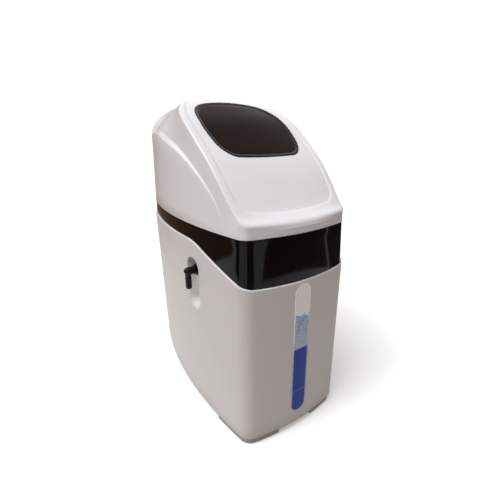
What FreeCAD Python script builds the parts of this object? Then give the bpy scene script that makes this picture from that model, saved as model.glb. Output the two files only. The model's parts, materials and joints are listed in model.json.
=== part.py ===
import FreeCAD, Part
import math
import os
import re
import Sketcher

from FreeCAD import Placement, Rotation, Vector

# Compact cabinet water softener. Millimetres, +Z up, front towards -Y.
# The origin is on the floor, under the middle of the cabinet.

os.makedirs("parts", exist_ok=True)
doc = FreeCAD.newDocument("WaterSoftener")

SIZES = {
    # cabinet plan, bowed on all four sides
    "cabinet_width": 270.0,
    "cabinet_depth": 445.4,
    "side_bow": 29.0,
    "end_bow": 11.5,
    "corner_radius": 28.6,
    # cabinet body and base
    "base_height": 14.0,
    "base_inset": 4.0,
    "base_plate": 6.0,
    "foot_span_front": 80.0,
    "foot_span_side": 250.0,
    "foot_arch_depth": 60.0,
    "body_height": 380.0,
    "body_wall": 4.0,
    "body_floor": 5.0,
    # black band between body and hood
    "band_back_height": 27.0,
    "band_inset": 1.2,
    "band_wall": 3.4,
    "band_skirt": 14.0,
    "band_skirt_wall": 2.5,
    "band_ledge": 10.0,
    "band_ledge_thickness": 3.0,
    "band_skirt_drop": 6.0,
    "band_screw_near": 30.0,
    "band_screw_far": 75.0,
    "swoop_start": 145.0,
    "swoop_angle": 20.6,
    "swoop_radius": 120.0,
    # hood
    "hood_gap": 0.3,
    "hood_wall": 3.5,
    "hood_roof": 4.5,
    "hood_draft": 3.0,
    "hood_top": 232.0,
    "hood_steps": 2,
    "hood_back_radius": 60.0,
    "notch_width": 120.0,
    "notch_height": 44.0,
    "band_notch_depth": 24.0,
    # window in the hood, placed from the front of the cabinet
    "window_front": 99.0,
    "window_length": 150.0,
    "window_width": 178.0,
    "window_front_radius": 26.0,
    "window_back_radius": 48.0,
    "window_back_bow": 15.0,
    "window_front_bow": 4.0,
    "window_taper": 6.0,
    "window_tilt": 31.5,
    "bezel_rim": 6.0,
    "bezel_flange": 5.0,
    "bezel_ledge": 3.0,
    "bezel_proud": 1.0,
    "bezel_depth": 7.5,
    "lens_sunk": 0.6,
    "lens_thickness": 3.0,
    # front label
    "label_width": 34.0,
    "label_height": 268.0,
    "label_bottom": 39.0,
    "label_thickness": 0.5,
    # scoop and overflow on the left side
    "scoop_forward": 72.0,
    "scoop_bottom": 230.0,
    "scoop_height": 104.0,
    "scoop_width": 43.0,
    "scoop_depth": 11.0,
    "scoop_lead": 2.0,
    "scoop_slope": 7.0,
    "overflow_height": 309.0,
    "overflow_sleeve_radius": 8.0,
    "overflow_sleeve_bore": 5.5,
    "overflow_flange_radius": 11.0,
    "overflow_flange": 2.5,
    "overflow_gasket": 1.5,
    "overflow_nut_radius": 13.0,
    "overflow_nut_height": 6.0,
    "sleeve_past_nut": 2.0,
    "elbow_reach": 15.5,
    "elbow_stem": 15.0,
    "elbow_collar": 2.0,
    "elbow_collar_length": 3.0,
    "elbow_radius": 7.0,
    "elbow_stub_radius": 5.4,
    "elbow_stub_length": 33.0,
    "elbow_bore": 3.6,
    "barb_rise": 0.8,
    "barb_pitch": 7.0,
    "barb_length": 4.0,
    "barb_count": 3,
    # hood hinge
    "hinge_spread": 74.0,
    "hinge_width": 20.0,
    "hinge_leaf": 2.0,
    "hinge_leaf_height": 20.0,
    "knuckle_radius": 4.0,
    "knuckle_middle": 8.0,
    "hinge_stand_off": 4.6,
    "hinge_pin_radius": 2.0,
    "hinge_screw_edge": 4.0,
    "hinge_screw_rise": 15.0,
    # screws, all alike
    "screw_radius": 1.5,
    "screw_length": 10.0,
    "screw_head": 2.6,
    "screw_head_height": 1.6,
    "screw_seat": 0.6,
    # resin vessel
    "tank_back": 50.0,
    "tank_radius": 91.5,
    "tank_height": 338.0,
    "tank_wall": 4.0,
    "tank_neck_radius": 44.0,
    "tank_neck_height": 14.0,
    "tank_neck_bore": 34.5,
    "tank_bottom_radius": 40.0,
    "tank_top_radius": 42.0,
    "boot_wall": 5.0,
    "boot_height": 50.0,
    "boot_floor": 3.0,
    "resin_level": 228.0,
    "resin_foot": 5.0,
    "resin_slant": 32.0,
    "riser_radius": 13.35,
    "riser_bore": 10.6,
    "basket_radius": 24.0,
    "basket_height": 48.0,
    "basket_slots": 12,
    "basket_slot": 1.5,
    "basket_slot_low": 10.0,
    "basket_slot_height": 20.0,
    "basket_wall": 3.0,
    "basket_socket": 14.0,
    "riser_short": 10.0,
    "screen_height": 12.0,
    "screen_foot": 8.0,
    "screen_gap": 6.0,
    # control valve
    "valve_flange_radius": 46.0,
    "valve_flange": 8.0,
    "valve_plug_height": 22.0,
    "valve_column_radius": 38.0,
    "valve_column_height": 46.0,
    "riser_seat_depth": 36.0,
    "port_rise": 32.0,
    "port_spread": 34.0,
    "port_radius": 16.0,
    "port_bore": 11.0,
    "port_reach": 82.0,
    "port_hole_start": 10.0,
    "piston_rise": 64.0,
    "housing_radius": 30.0,
    "housing_bore": 25.0,
    "housing_front": 65.0,
    "housing_length": 133.0,
    "housing_end_wall": 6.0,
    "boss_radius": 13.0,
    "boss_reach": 48.0,
    "boss_wall": 4.0,
    "boss_floor": 3.0,
    "injector_forward": 30.0,
    "injector_length": 12.4,
    "injector_taper": 9.0,
    "injector_bore": 1.2,
    "injector_tip": 2.5,
    "injector_cap_plug": 2.0,
    "injector_cap_height": 8.0,
    "injector_cap_crown": 2.0,
    "drain_back": 35.0,
    "drain_reach": 60.0,
    "drain_length": 45.0,
    "drain_radius": 6.0,
    "drain_bore": 4.0,
    "drain_sleeve": 2.0,
    "drain_sleeve_length": 16.0,
    "drain_plug": 12.0,
    "brine_port_forward": 16.0,
    "brine_port_rise": 20.0,
    "brine_port_radius": 8.0,
    "brine_port_reach": 52.0,
    "brine_port_depth": 10.0,
    "brine_elbow_reach": 18.0,
    "brine_elbow_ball": 1.5,
    "brine_elbow_chamber": 0.8,
    "brine_nut_wall": 3.0,
    "brine_nut_length": 15.0,
    "brine_nut_floor": 6.0,
    "brine_tube_seat": 7.0,
    "brine_tube_radius": 4.75,
    "brine_tube_bore": 3.2,
    "stack_wall": 3.7,
    "seal_bore": 17.2,
    "seal_thickness": 4.0,
    "seal_pitch": 18.0,
    "seal_count": 6,
    "seal_first": 22.0,
    "stack_start": 10.2,
    "stack_groove": 3.0,
    "stack_groove_depth": 1.2,
    "plug_flange": 2.0,
    "plug_depth": 10.0,
    "piston_radius": 17.0,
    "piston_length": 60.0,
    "piston_waist": 11.0,
    "piston_back": 54.0,
    "piston_land": 14.0,
    "piston_slope": 3.0,
    "piston_middle_land": 12.0,
    "piston_end_land": 6.0,
    "piston_gap": 4.0,
    "rod_radius": 5.9,
    "rod_reach": 92.0,
    "rod_bite": 20.0,
    "rod_thread_pitch": 5.0,
    "rod_thread_depth": 0.8,
    "rod_thread_turns": 8,
    # drive
    "bracket_thickness": 4.0,
    "bracket_height": 104.0,
    "bracket_rise": 2.0,
    "bracket_screw_inset": 2.5,
    "gear_module": 1.2,
    "gear_width": 8.0,
    "drive_teeth": 50,
    "idler_teeth": 30,
    "pinion_teeth": 12,
    "idler_angle": 150.0,
    "gear_backlash": 0.35,
    "gear_pressure": 25.0,
    "gear_addendum": 0.8,
    "gear_dedendum": 1.1,
    "gear_gap": 2.0,
    "hub_radius": 9.0,
    "hub_reach": 3.5,
    "idler_axle_radius": 3.0,
    "axle_head": 1.5,
    "axle_head_thickness": 1.7,
    "axle_spacer": 2.0,
    "motor_radius": 18.0,
    "motor_length": 38.0,
    "shaft_radius": 2.0,
    "shaft_reach": 6.0,
    "shaft_hole": 2.0,
    "motor_bevel": 3.0,
    # control head cover
    "cover_width": 150.0,
    "cover_wall": 3.0,
    "cover_front": 117.5,
    "cover_bottom": 32.0,
    "cover_lip_rise": 143.7,
    "cover_round": 8.0,
    "console_run": 92.5,
    "console_tilt": 31.3,
    "cover_crown": 20.0,
    "cover_step_back": 7.0,
    "cover_step_rise": 110.0,
    "display_width": 76.0,
    "display_depth": 40.0,
    "display_up": 14.0,
    "button_radius": 7.0,
    "button_spread": 24.0,
    "button_down": 30.0,
    "button_proud": 2.5,
    "button_travel": 1.2,
    "button_stem": 2.5,
    "button_brim": 2.0,
    "button_brim_thickness": 1.6,
    "button_bevel": 0.8,
    "board_thickness": 1.6,
    "board_depth": 8.0,
    "board_width": 120.0,
    "board_low": 42.0,
    "board_high": 40.0,
    "display_margin": 3.0,
    "display_gap": 0.9,
    "display_lens": 2.7,
    "post_radius": 3.5,
    "post_spread": 54.0,
    "post_low": 38.0,
    "post_high": 34.0,
    "jack_radius": 5.5,
    "jack_back": 14.0,
    "jack_rise": 25.0,
    "jack_rim": 1.5,
    "jack_depth": 3.0,
    "jack_pin": 2.0,
    "jack_bore": 3.2,
    # meter
    "turbine_radius": 9.8,
    "turbine_length": 14.0,
    "turbine_back": 36.0,
    "turbine_hub": 4.0,
    "turbine_blades": 6,
    "blade_thickness": 1.4,
    "blade_inset": 2.0,
    "spindle_radius": 1.5,
    "spindle_reach": 4.0,
    "spindle_stop": 1.2,
    "spindle_web": 3.0,
    # bypass
    "bypass_length": 74.0,
    "bypass_bridge_radius": 12.0,
    "rotor_radius": 15.0,
    "rotor_housing_wall": 4.0,
    "rotor_housing_height": 40.0,
    "rotor_bore": 9.0,
    "rotor_cap": 3.0,
    "knob_height": 16.0,
    "knob_width": 10.0,
    "knob_length": 34.0,
    "knob_round": 4.5,
    "nut_radius": 20.0,
    "nut_length": 18.0,
    "nut_grips": 12,
    "nut_grip_radius": 2.2,
    "stub_radius": 13.35,
    "stub_bore": 10.5,
    "stub_length": 46.0,
    "stub_collar": 5.0,
    # brine well
    "well_x": 67.0,
    "well_forward": 110.0,
    "well_radius": 36.0,
    "well_wall": 3.0,
    "well_slots": 4,
    "well_slot_width": 6.0,
    "well_slot_low": 8.0,
    "well_slot_high": 34.0,
    "well_height": 373.0,
    "cap_thickness": 4.0,
    "cap_brim": 2.0,
    "cap_plug": 4.5,
    "cap_knob": 9.0,
    "cap_knob_radius": 7.0,
    "cap_knob_flare": 2.0,
    "brine_riser_radius": 7.0,
    "brine_riser_bore": 5.0,
    "brine_riser_foot": 4.0,
    "riser_collar": 2.5,
    "riser_collar_height": 3.7,
    "riser_elbow_reach": 15.0,
    "brine_valve_radius": 24.0,
    "brine_valve_height": 50.0,
    "brine_valve_foot": 22.0,
    "brine_valve_neck": 28.0,
    "brine_valve_brim": 5.0,
    "float_radius": 28.0,
    "float_height": 50.0,
    "float_bevel": 4.0,
    "float_level": 206.0,
    "float_travel": 12.0,
    "float_rod_radius": 1.5,
    "float_rod_offset": 19.0,
    "float_rod_bite": 8.0,
    # salt grid
    "grid_height": 44.0,
    "grid_thickness": 4.0,
    "grid_hole": 4.0,
    "grid_pitch": 18.0,
    "grid_bridge": 4.0,
    "grid_gap": 1.0,
    "grid_leg_radius": 5.0,
    "grid_leg_front": 16.0,
    "grid_leg_corner": 70.0,
    "grid_leg_middle": 60.0,
    "grid_leg_side": 24.0,
    "grid_leg_near": 70.0,
    "grid_leg_far": 20.0,
    # clearances
    "loose": 0.3,
    "snug": 0.2,
    "running": 0.06,
    "pressed": 0.02,
}

# Hood stations from the front of the cabinet to the back: distance behind the front,
# height of the middle above the seam, crown, inset of the plateau's edge from the side,
# and height at which the side slope meets the full width.
HOOD_STATIONS = [
    (-17.0, 12.0, 2.0, 6.8, -20.0),
    (12.7, 23.5, 2.0, 9.2, -13.0),
    (26.7, 30.0, 2.0, 9.2, -5.0),
    (36.0, 38.5, 2.0, 8.6, 7.0),
    (52.7, 57.5, 2.5, 8.1, 28.0),
    (75.7, 84.0, 3.0, 9.4, 47.5),
    (102.7, 111.5, 3.5, 11.6, 71.0),
    (132.7, 136.5, 4.5, 13.3, 86.0),
    (166.7, 163.0, 5.0, 15.2, 95.0),
    (202.7, 186.0, 6.0, 19.9, 108.0),
    (232.7, 201.0, 7.0, 34.0, 122.0),
    (262.7, 211.0, 9.0, 47.7, 134.0),
    (292.7, 217.0, 10.5, 62.2, 142.0),
    (330.0, 219.0, 11.5, 73.2, 145.0),
    (390.0, 219.0, 11.5, 70.4, 145.0),
    (470.0, 219.0, 11.5, 66.8, 145.0),
]

sheet = doc.addObject("Spreadsheet::Sheet", "Sizes")


def fill_sheet():
    """Write every driving size to its own named cell."""
    rows = list(SIZES.items())
    fields = ["distance", "middle", "crown", "edge", "shoulder"]
    for number, station in enumerate(HOOD_STATIONS):
        rows += [("hood_%s_%d" % (field, number), value) for field, value in zip(fields, station)]
    for number, (name, value) in enumerate(rows, start=1):
        sheet.set("A%d" % number, name)
        sheet.set("B%d" % number, str(value))
        sheet.setAlias("B%d" % number, name)
    doc.recompute()


def size(name):
    """Read one driving size back from the sheet."""
    return float(sheet.get(name))


def spelled(formula):
    """Turn plain size names into references to the sheet's cells."""
    def reference(match):
        word = match.group(0)
        return "Sizes." + word if word in SIZES else word
    return re.sub(r"[a-z_][a-z_0-9]*", reference, str(formula))


def bind(thing, **formulas):
    """Bind properties to formulas of the driving sizes."""
    for name, formula in formulas.items():
        thing.setExpression(name, spelled(formula))


TURNS = {
    "Z": Rotation(),
    "X": Rotation(Vector(0, 1, 0), 90),
    "-X": Rotation(Vector(0, 1, 0), -90),
    "Y": Rotation(Vector(1, 0, 0), -90),
}


def place(thing, x=0, y=0, z=0, axis="Z"):
    """Put a piece at a point given by formulas, its own Z along the named axis."""
    thing.Placement = Placement(Vector(), TURNS[axis])
    for letter, formula in (("x", x), ("y", y), ("z", z)):
        thing.setExpression("Placement.Base." + letter, spelled(formula))
    return thing


def rod(name, radius, length, x=0, y=0, z=0, axis="Z"):
    """Round bar along an axis."""
    thing = doc.addObject("Part::Cylinder", name)
    bind(thing, Radius=radius, Height=length)
    return place(thing, x, y, z, axis)


def joined(label, pieces):
    """Fuse several primitives."""
    thing = doc.addObject("Part::MultiFuse", label)
    thing.Shapes = pieces
    thing.Label = label
    return thing


def bored(label, base, tools):
    """Cut primitives out of a base."""
    tool = tools[0] if len(tools) == 1 else joined(label + "_holes", tools)
    thing = doc.addObject("Part::Cut", label)
    thing.Base = base
    thing.Tool = tool
    thing.Label = label
    return thing


def shaped(label, shape):
    """Keep a shape that needs Part's own functions."""
    thing = doc.addObject("Part::Feature", label)
    thing.Shape = shape
    thing.Label = label
    return thing


def origin_plane(body, role):
    """Find one of a body's own origin planes or axes."""
    return [item for item in body.Origin.OriginFeatures if item.Role == role][0]


def outline(sketch, points):
    """Draw a closed outline whose corners are bound to formulas."""
    count = len(points)
    for index in range(count):
        start = 2 * math.pi * index / count
        end = 2 * math.pi * (index + 1) / count
        sketch.addGeometry(Part.LineSegment(
            Vector(50 + 20 * math.cos(start), 20 * math.sin(start), 0),
            Vector(50 + 20 * math.cos(end), 20 * math.sin(end), 0)), False)
    for index in range(count):
        sketch.addConstraint(Sketcher.Constraint("Coincident", index, 2, (index + 1) % count, 1))
    for index, (across, up) in enumerate(points):
        for kind, formula in (("DistanceX", across), ("DistanceY", up)):
            number = sketch.addConstraint(Sketcher.Constraint(kind, -1, 1, index, 1, 10.0))
            sketch.setExpression("Constraints[%d]" % number, spelled(formula))


def new_body(label):
    """Start a body of its own for one sub-part."""
    body = doc.addObject("PartDesign::Body", label)
    body.Label = label
    return body


def new_sketch(body, name, role, points):
    """Sketch on one of the body's own planes."""
    sketch = body.newObject("Sketcher::SketchObject", name)
    sketch.AttachmentSupport = [(origin_plane(body, role), "")]
    sketch.MapMode = "FlatFace"
    outline(sketch, points)
    return sketch


def turned(label, points, x=0, y=0, z=0, axis="Z"):
    """Body turned from a profile of (radius, height) corners."""
    body = new_body(label)
    sketch = new_sketch(body, label + "_profile", "XZ_Plane", points)
    turn = body.newObject("PartDesign::Revolution", label + "_turn")
    turn.Profile = sketch
    turn.ReferenceAxis = (sketch, ["V_Axis"])
    turn.Angle = 360
    sketch.Visibility = False
    place(body, x, y, z, axis)
    return body


def tube(label, outer, inner, length, x=0, y=0, z=0, axis="Z"):
    """Plain tube or ring."""
    points = [(inner, 0), (outer, 0), (outer, length), (inner, length)]
    return turned(label, points, x, y, z, axis)


def rounded(body, radius, wanted):
    """Round the edges of a body's last feature that a test picks."""
    doc.recompute()
    tip = body.Tip
    names = ["Edge%d" % (index + 1) for index, edge in enumerate(tip.Shape.Edges) if wanted(edge)]
    fillet = body.newObject("PartDesign::Fillet", body.Label + "_round")
    fillet.Base = (tip, names)
    bind(fillet, Radius=radius)
    return fillet


fill_sheet()

# Levels that several pieces share
FLOOR_TOP = "(base_height + body_floor)"
TANK_FOOT = "(base_height + body_floor + boot_floor)"
VALVE_SEAT = "(base_height + body_floor + boot_floor + tank_height)"
PORT_LEVEL = "(base_height + body_floor + boot_floor + tank_height + port_rise)"
PISTON_LEVEL = "(base_height + body_floor + boot_floor + tank_height + piston_rise)"

half_width = size("cabinet_width") / 2
half_depth = size("cabinet_depth") / 2
floor_top = size("base_height") + size("body_floor")
seam = size("base_height") + size("body_height")
valve_seat = floor_top + size("boot_floor") + size("tank_height")
piston_level = valve_seat + size("piston_rise")
port_level = valve_seat + size("port_rise")
loose = size("loose")
snug = size("snug")
running = size("running")
pressed = size("pressed")

# Cutters run this far past what they cut, and joined pieces reach this far into each other
PAST = 1.0


def bow_radius(half_chord, bow):
    """Radius of an arc with a given half chord and rise."""
    return (half_chord ** 2 + bow ** 2) / (2 * bow)


def plan_wire(inset, level=0.0):
    """Bowed and rounded outline of the cabinet, moved inwards by an inset."""
    side_radius = bow_radius(half_depth, size("side_bow"))
    end_radius = bow_radius(half_width - size("side_bow"), size("end_bow"))
    corner_radius = size("corner_radius")
    side_centre = half_width - side_radius
    end_centre = half_depth - end_radius
    first = side_radius - corner_radius
    second = end_radius - corner_radius
    apart = math.hypot(side_centre, end_centre)
    along = (first ** 2 - second ** 2 + apart ** 2) / (2 * apart)
    aside = math.sqrt(first ** 2 - along ** 2)
    way = (-side_centre / apart, end_centre / apart)
    corner_x = side_centre + along * way[0] + aside * way[1]
    corner_y = along * way[1] - aside * way[0]
    if corner_x < 0 or corner_y < 0:
        corner_x = side_centre + along * way[0] - aside * way[1]
        corner_y = along * way[1] + aside * way[0]
    to_side = math.atan2(corner_y, corner_x - side_centre)
    to_end = math.atan2(corner_y - end_centre, corner_x)
    side_point = (side_centre + (side_radius - inset) * math.cos(to_side),
                  (side_radius - inset) * math.sin(to_side))
    end_point = ((end_radius - inset) * math.cos(to_end),
                 end_centre + (end_radius - inset) * math.sin(to_end))
    between = (to_side + to_end) / 2
    corner_point = (corner_x + (corner_radius - inset) * math.cos(between),
                    corner_y + (corner_radius - inset) * math.sin(between))

    def at(point, across, back):
        """Mirror a point into one quarter of the plan."""
        return Vector(point[0] * across, point[1] * back, level)

    edges = []
    for across, back in ((1, 1), (-1, -1)):
        edges += [
            Part.Arc(at(side_point, across, -back), Vector(across * (half_width - inset), 0, level),
                     at(side_point, across, back)).toShape(),
            Part.Arc(at(side_point, across, back), at(corner_point, across, back),
                     at(end_point, across, back)).toShape(),
            Part.Arc(at(end_point, across, back), Vector(0, back * (half_depth - inset), level),
                     at(end_point, -across, back)).toShape(),
            Part.Arc(at(end_point, -across, back), at(corner_point, -across, back),
                     at(side_point, -across, back)).toShape()]
    return Part.Wire(edges)


def plan_prism(inset, low, high):
    """Solid over the cabinet's outline between two levels."""
    return Part.Face(plan_wire(inset, low)).extrude(Vector(0, 0, high - low))


def plan_ring(outer, inner, low, high):
    """Wall between two insets of the outline."""
    return plan_prism(outer, low, high).cut(plan_prism(inner, low - 1, high + 1))


def box(low, high):
    """Block between two corners."""
    span = Vector(*high) - Vector(*low)
    return Part.makeBox(span.x, span.y, span.z, Vector(*low))


def bar(radius, start, end):
    """Round bar between two points."""
    start, end = Vector(*start), Vector(*end)
    way = end - start
    return Part.makeCylinder(radius, way.Length, start, way)


def side_half(distance):
    """Half width of the bowed side at a distance behind the front."""
    radius = bow_radius(half_depth, size("side_bow"))
    y = distance - half_depth
    return half_width - (radius - math.sqrt(radius * radius - y * y))


def end_y(x):
    """How far back the bowed end lies at a distance from the middle."""
    radius = bow_radius(half_width - size("side_bow"), size("end_bow"))
    return half_depth - (radius - math.sqrt(radius * radius - x * x))


def swoop_region(lift=0.0):
    """Everything above the band's lower edge, as one block cut by its side profile."""
    level = seam - size("band_back_height") + lift
    start = -half_depth + size("swoop_start")
    angle = math.radians(size("swoop_angle"))
    tangent = size("swoop_radius") * math.tan(angle / 2)
    reach = half_depth + start + 20 * PAST
    first = Vector(0, start + tangent, level)
    last = Vector(0, start - tangent * math.cos(angle), level - tangent * math.sin(angle))
    middle = arc_middle(first, last, Vector(0, start, level), size("swoop_radius"))
    front = Vector(0, start - reach, level - reach * math.tan(angle))
    back = Vector(0, half_depth + 20 * PAST, level)
    top = seam + size("hood_top") + 20 * PAST
    edges = [
        Part.LineSegment(back, first).toShape(),
        Part.Arc(first, middle, last).toShape(),
        Part.LineSegment(last, front).toShape(),
        Part.LineSegment(front, Vector(0, front.y, top)).toShape(),
        Part.LineSegment(Vector(0, front.y, top), Vector(0, back.y, top)).toShape(),
        Part.LineSegment(Vector(0, back.y, top), back).toShape(),
    ]
    face = Part.Face(Part.Wire(edges))
    face.translate(Vector(-half_width - PAST, 0, 0))
    return face.extrude(Vector(2 * (half_width + PAST), 0, 0))


def arc_middle(first, last, corner, radius):
    """Middle of the arc that rounds a corner between two tangent points."""
    chord_middle = (first + last) * 0.5
    inward = (chord_middle - corner).normalize()
    half_chord = (last - first).Length / 2
    depth = radius - math.sqrt(radius * radius - half_chord * half_chord)
    return chord_middle - inward * depth


def cabinet_base():
    """Darker base: a plate with four corner feet, arches between them and a flat middle."""
    top = size("base_height")
    shape = plan_prism(size("base_inset"), 0, top)
    arch = top - size("base_plate")
    front = size("foot_span_front") / 2
    side = size("foot_span_side") / 2
    wide = half_width + PAST
    deep = half_depth + PAST
    inward = size("foot_arch_depth")
    for way in (-1, 1):
        ends = sorted((way * deep, way * (half_depth - inward)))
        shape = shape.cut(box((-front, ends[0], -PAST), (front, ends[1], arch)))
        ends = sorted((way * wide, way * (half_width - inward)))
        shape = shape.cut(box((ends[0], -side, -PAST), (ends[1], side, arch)))
    return shaped("base_plinth", shape)


def scoop_block(grow, depth, outside):
    """Capsule-shaped hollow in the left side, narrowing inwards."""
    radius = size("scoop_width") / 2 + grow
    slope = size("scoop_slope")
    low = size("scoop_bottom") + size("scoop_width") / 2
    high = size("scoop_bottom") + size("scoop_height") - size("scoop_width") / 2
    y = -size("scoop_forward")

    def capsule(x, r):
        """Upright capsule outline at one depth."""
        points = [Vector(x, y - r, low), Vector(x, y, low - r), Vector(x, y + r, low),
                  Vector(x, y + r, high), Vector(x, y, high + r), Vector(x, y - r, high)]
        edges = [Part.Arc(points[0], points[1], points[2]).toShape(),
                 Part.LineSegment(points[2], points[3]).toShape(),
                 Part.Arc(points[3], points[4], points[5]).toShape(),
                 Part.LineSegment(points[5], points[0]).toShape()]
        return Part.Wire(edges)

    face_x = -half_width + size("scoop_lead")
    wires = [capsule(face_x - outside, radius + slope * outside / depth),
             capsule(face_x + depth, radius - slope)]
    return Part.makeLoft(wires, True, True)


def scoop_floor():
    """Position across the cabinet of the scoop's flat floor."""
    return -half_width + size("scoop_lead") + size("scoop_depth")


def cabinet_shell():
    """White salt cabinet, open at the top, with the scoop and its overflow hole."""
    wall = size("body_wall")
    low = size("base_height")
    depth = size("scoop_depth")
    shape = plan_ring(0, wall, low, seam).fuse(plan_prism(0, low, floor_top))
    boss = scoop_block(wall, depth + wall, PAST).common(plan_prism(PAST / 2, low, seam))
    shape = shape.fuse(boss).cut(scoop_block(0, depth, 5 * PAST))
    y = -size("scoop_forward")
    level = size("overflow_height")
    hole = size("overflow_sleeve_radius") + snug
    shape = shape.cut(bar(hole, (-half_width, y, level), (scoop_floor() + 2 * wall, y, level)))
    shape = shape.cut(swoop_region())
    for x in band_screw_places():
        shape = shape.cut(screw_hole(x, screw_level()))
    return shaped("cabinet_body", shape.removeSplitter())


def screw_level():
    """Height of the screws that hold the band's skirt."""
    return seam - size("band_back_height") - size("band_skirt") / 2


def band_screw_places():
    """Places across the back of the band's screws."""
    return [way * size(name) for name in ("band_screw_near", "band_screw_far") for way in (-1, 1)]


def screw_hole(x, level):
    """Hole for one horizontal screw through the back walls."""
    y = end_y(abs(x))
    reach = size("screw_length") + size("screw_head_height")
    return bar(size("screw_radius") + pressed, (x, y - reach, level), (x, y + reach, level))


def band():
    """Glossy black band with its swooping lower edge, inner skirt and hood seat."""
    inset = size("band_inset")
    wall = size("band_wall")
    shape = plan_ring(inset, inset + wall, floor_top, seam).common(swoop_region())
    skirt_inset = size("body_wall") + loose
    skirt = plan_ring(skirt_inset, skirt_inset + size("band_skirt_wall"), floor_top,
                      seam - size("band_skirt_drop"))
    shape = shape.fuse(skirt.common(swoop_region(-size("band_skirt"))))
    ledge = size("band_ledge_thickness")
    shape = shape.fuse(plan_ring(inset + wall - PAST, inset + wall + size("band_ledge"), seam - ledge, seam))
    notch = size("notch_width") / 2
    shape = shape.cut(box((-notch, half_depth - size("band_inset") - 3 * size("band_ledge"),
                           seam - size("band_notch_depth")), (notch, half_depth + PAST, seam + PAST)))
    for x in band_screw_places():
        shape = shape.cut(screw_hole(x, screw_level()))
    for x, level in hinge_screw_places(-1):
        shape = shape.cut(screw_hole(x, level))
    return shaped("trim_band", shape.removeSplitter())


def hinge_screw_places(side):
    """Places of the hinge screws below (-1) or above (1) the seam."""
    level = seam + side * size("hinge_screw_rise")
    offset = size("hinge_width") / 2 - size("hinge_screw_edge")
    spread = size("hinge_spread")
    return [(way * spread + step, level) for way in (-1, 1) for step in (-offset, offset)]


ROOFS = {}


def hood_stations():
    """Stations of the hood with gently curved steps between them."""
    fields = ["distance", "middle", "crown", "edge", "shoulder"]
    rows = [[size("hood_%s_%d" % (field, number)) for field in fields]
            for number in range(len(HOOD_STATIONS))]
    for row in rows[-2:]:
        row[0] += size("cabinet_depth") - SIZES["cabinet_depth"]
    slopes = []
    for number in range(len(rows)):
        near = rows[max(number - 1, 0)]
        far = rows[min(number + 1, len(rows) - 1)]
        slopes.append([(high - low) / (far[0] - near[0]) for low, high in zip(near, far)])
    steps = int(size("hood_steps"))
    result = []
    for number in range(len(rows) - 1):
        span = rows[number + 1][0] - rows[number][0]
        for step in range(steps):
            part = step / steps
            start = 2 * part ** 3 - 3 * part ** 2 + 1
            leave = part ** 3 - 2 * part ** 2 + part
            arrive = part ** 3 - part ** 2
            result.append([
                start * low + (1 - start) * high + span * (leave * slope_low + arrive * slope_high)
                for low, high, slope_low, slope_high in zip(
                    rows[number], rows[number + 1], slopes[number], slopes[number + 1])])
    return result + [rows[-1]]


def roof(lower):
    """Hood's top surface as a block through the stations from front to back."""
    if lower in ROOFS:
        return ROOFS[lower]
    wires = []
    beyond = 12 * PAST
    base = floor_top
    for distance, middle, crown, edge, shoulder in hood_stations():
        y = distance - half_depth
        half = side_half(min(max(distance, 0), size("cabinet_depth")))
        plateau = half - edge
        slope = (middle - crown - shoulder) / edge
        outer = half + beyond
        top = seam + middle - lower
        rim = top - crown
        foot = rim - slope * (edge + beyond)
        points = [Vector(outer, y, base), Vector(outer, y, foot), Vector(plateau, y, rim),
                  Vector(-plateau, y, rim), Vector(-outer, y, foot), Vector(-outer, y, base)]
        edges = [Part.LineSegment(points[0], points[1]).toShape(),
                 Part.LineSegment(points[1], points[2]).toShape(),
                 Part.Arc(points[2], Vector(0, y, top), points[3]).toShape(),
                 Part.LineSegment(points[3], points[4]).toShape(),
                 Part.LineSegment(points[4], points[5]).toShape(),
                 Part.LineSegment(points[5], points[0]).toShape()]
        wires.append(Part.Wire(edges))
    ROOFS[lower] = Part.makeLoft(wires, True, True)
    return ROOFS[lower]


def leaning_prism(inset, low):
    """Outline block above the seam whose walls lean inwards by the hood's draft."""
    rise = size("hood_top")
    lean = rise * math.tan(math.radians(size("hood_draft")))
    wires = [plan_wire(inset, low), plan_wire(inset + lean, low + rise)]
    return Part.makeLoft(wires, True, True)


def back_limit(inset):
    """Block that rounds the hood's top towards its back wall."""
    last = len(HOOD_STATIONS) - 1
    high = seam + size("hood_middle_%d" % last) + PAST - inset
    block_shape = box((-half_width - PAST, -half_depth - 5 * PAST, floor_top),
                      (half_width + PAST, half_depth - inset, high))
    edge = [item for item in block_shape.Edges
            if item.BoundBox.YMin > half_depth - inset - PAST and item.BoundBox.ZMin > high - PAST]
    return block_shape.makeFillet(size("hood_back_radius") - inset, edge)


def hood_form(inset, lower, low):
    """Hood's outer form, or an inner form at an inset and a lowered roof."""
    return leaning_prism(inset, low).common(roof(lower)).common(back_limit(lower))


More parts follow.
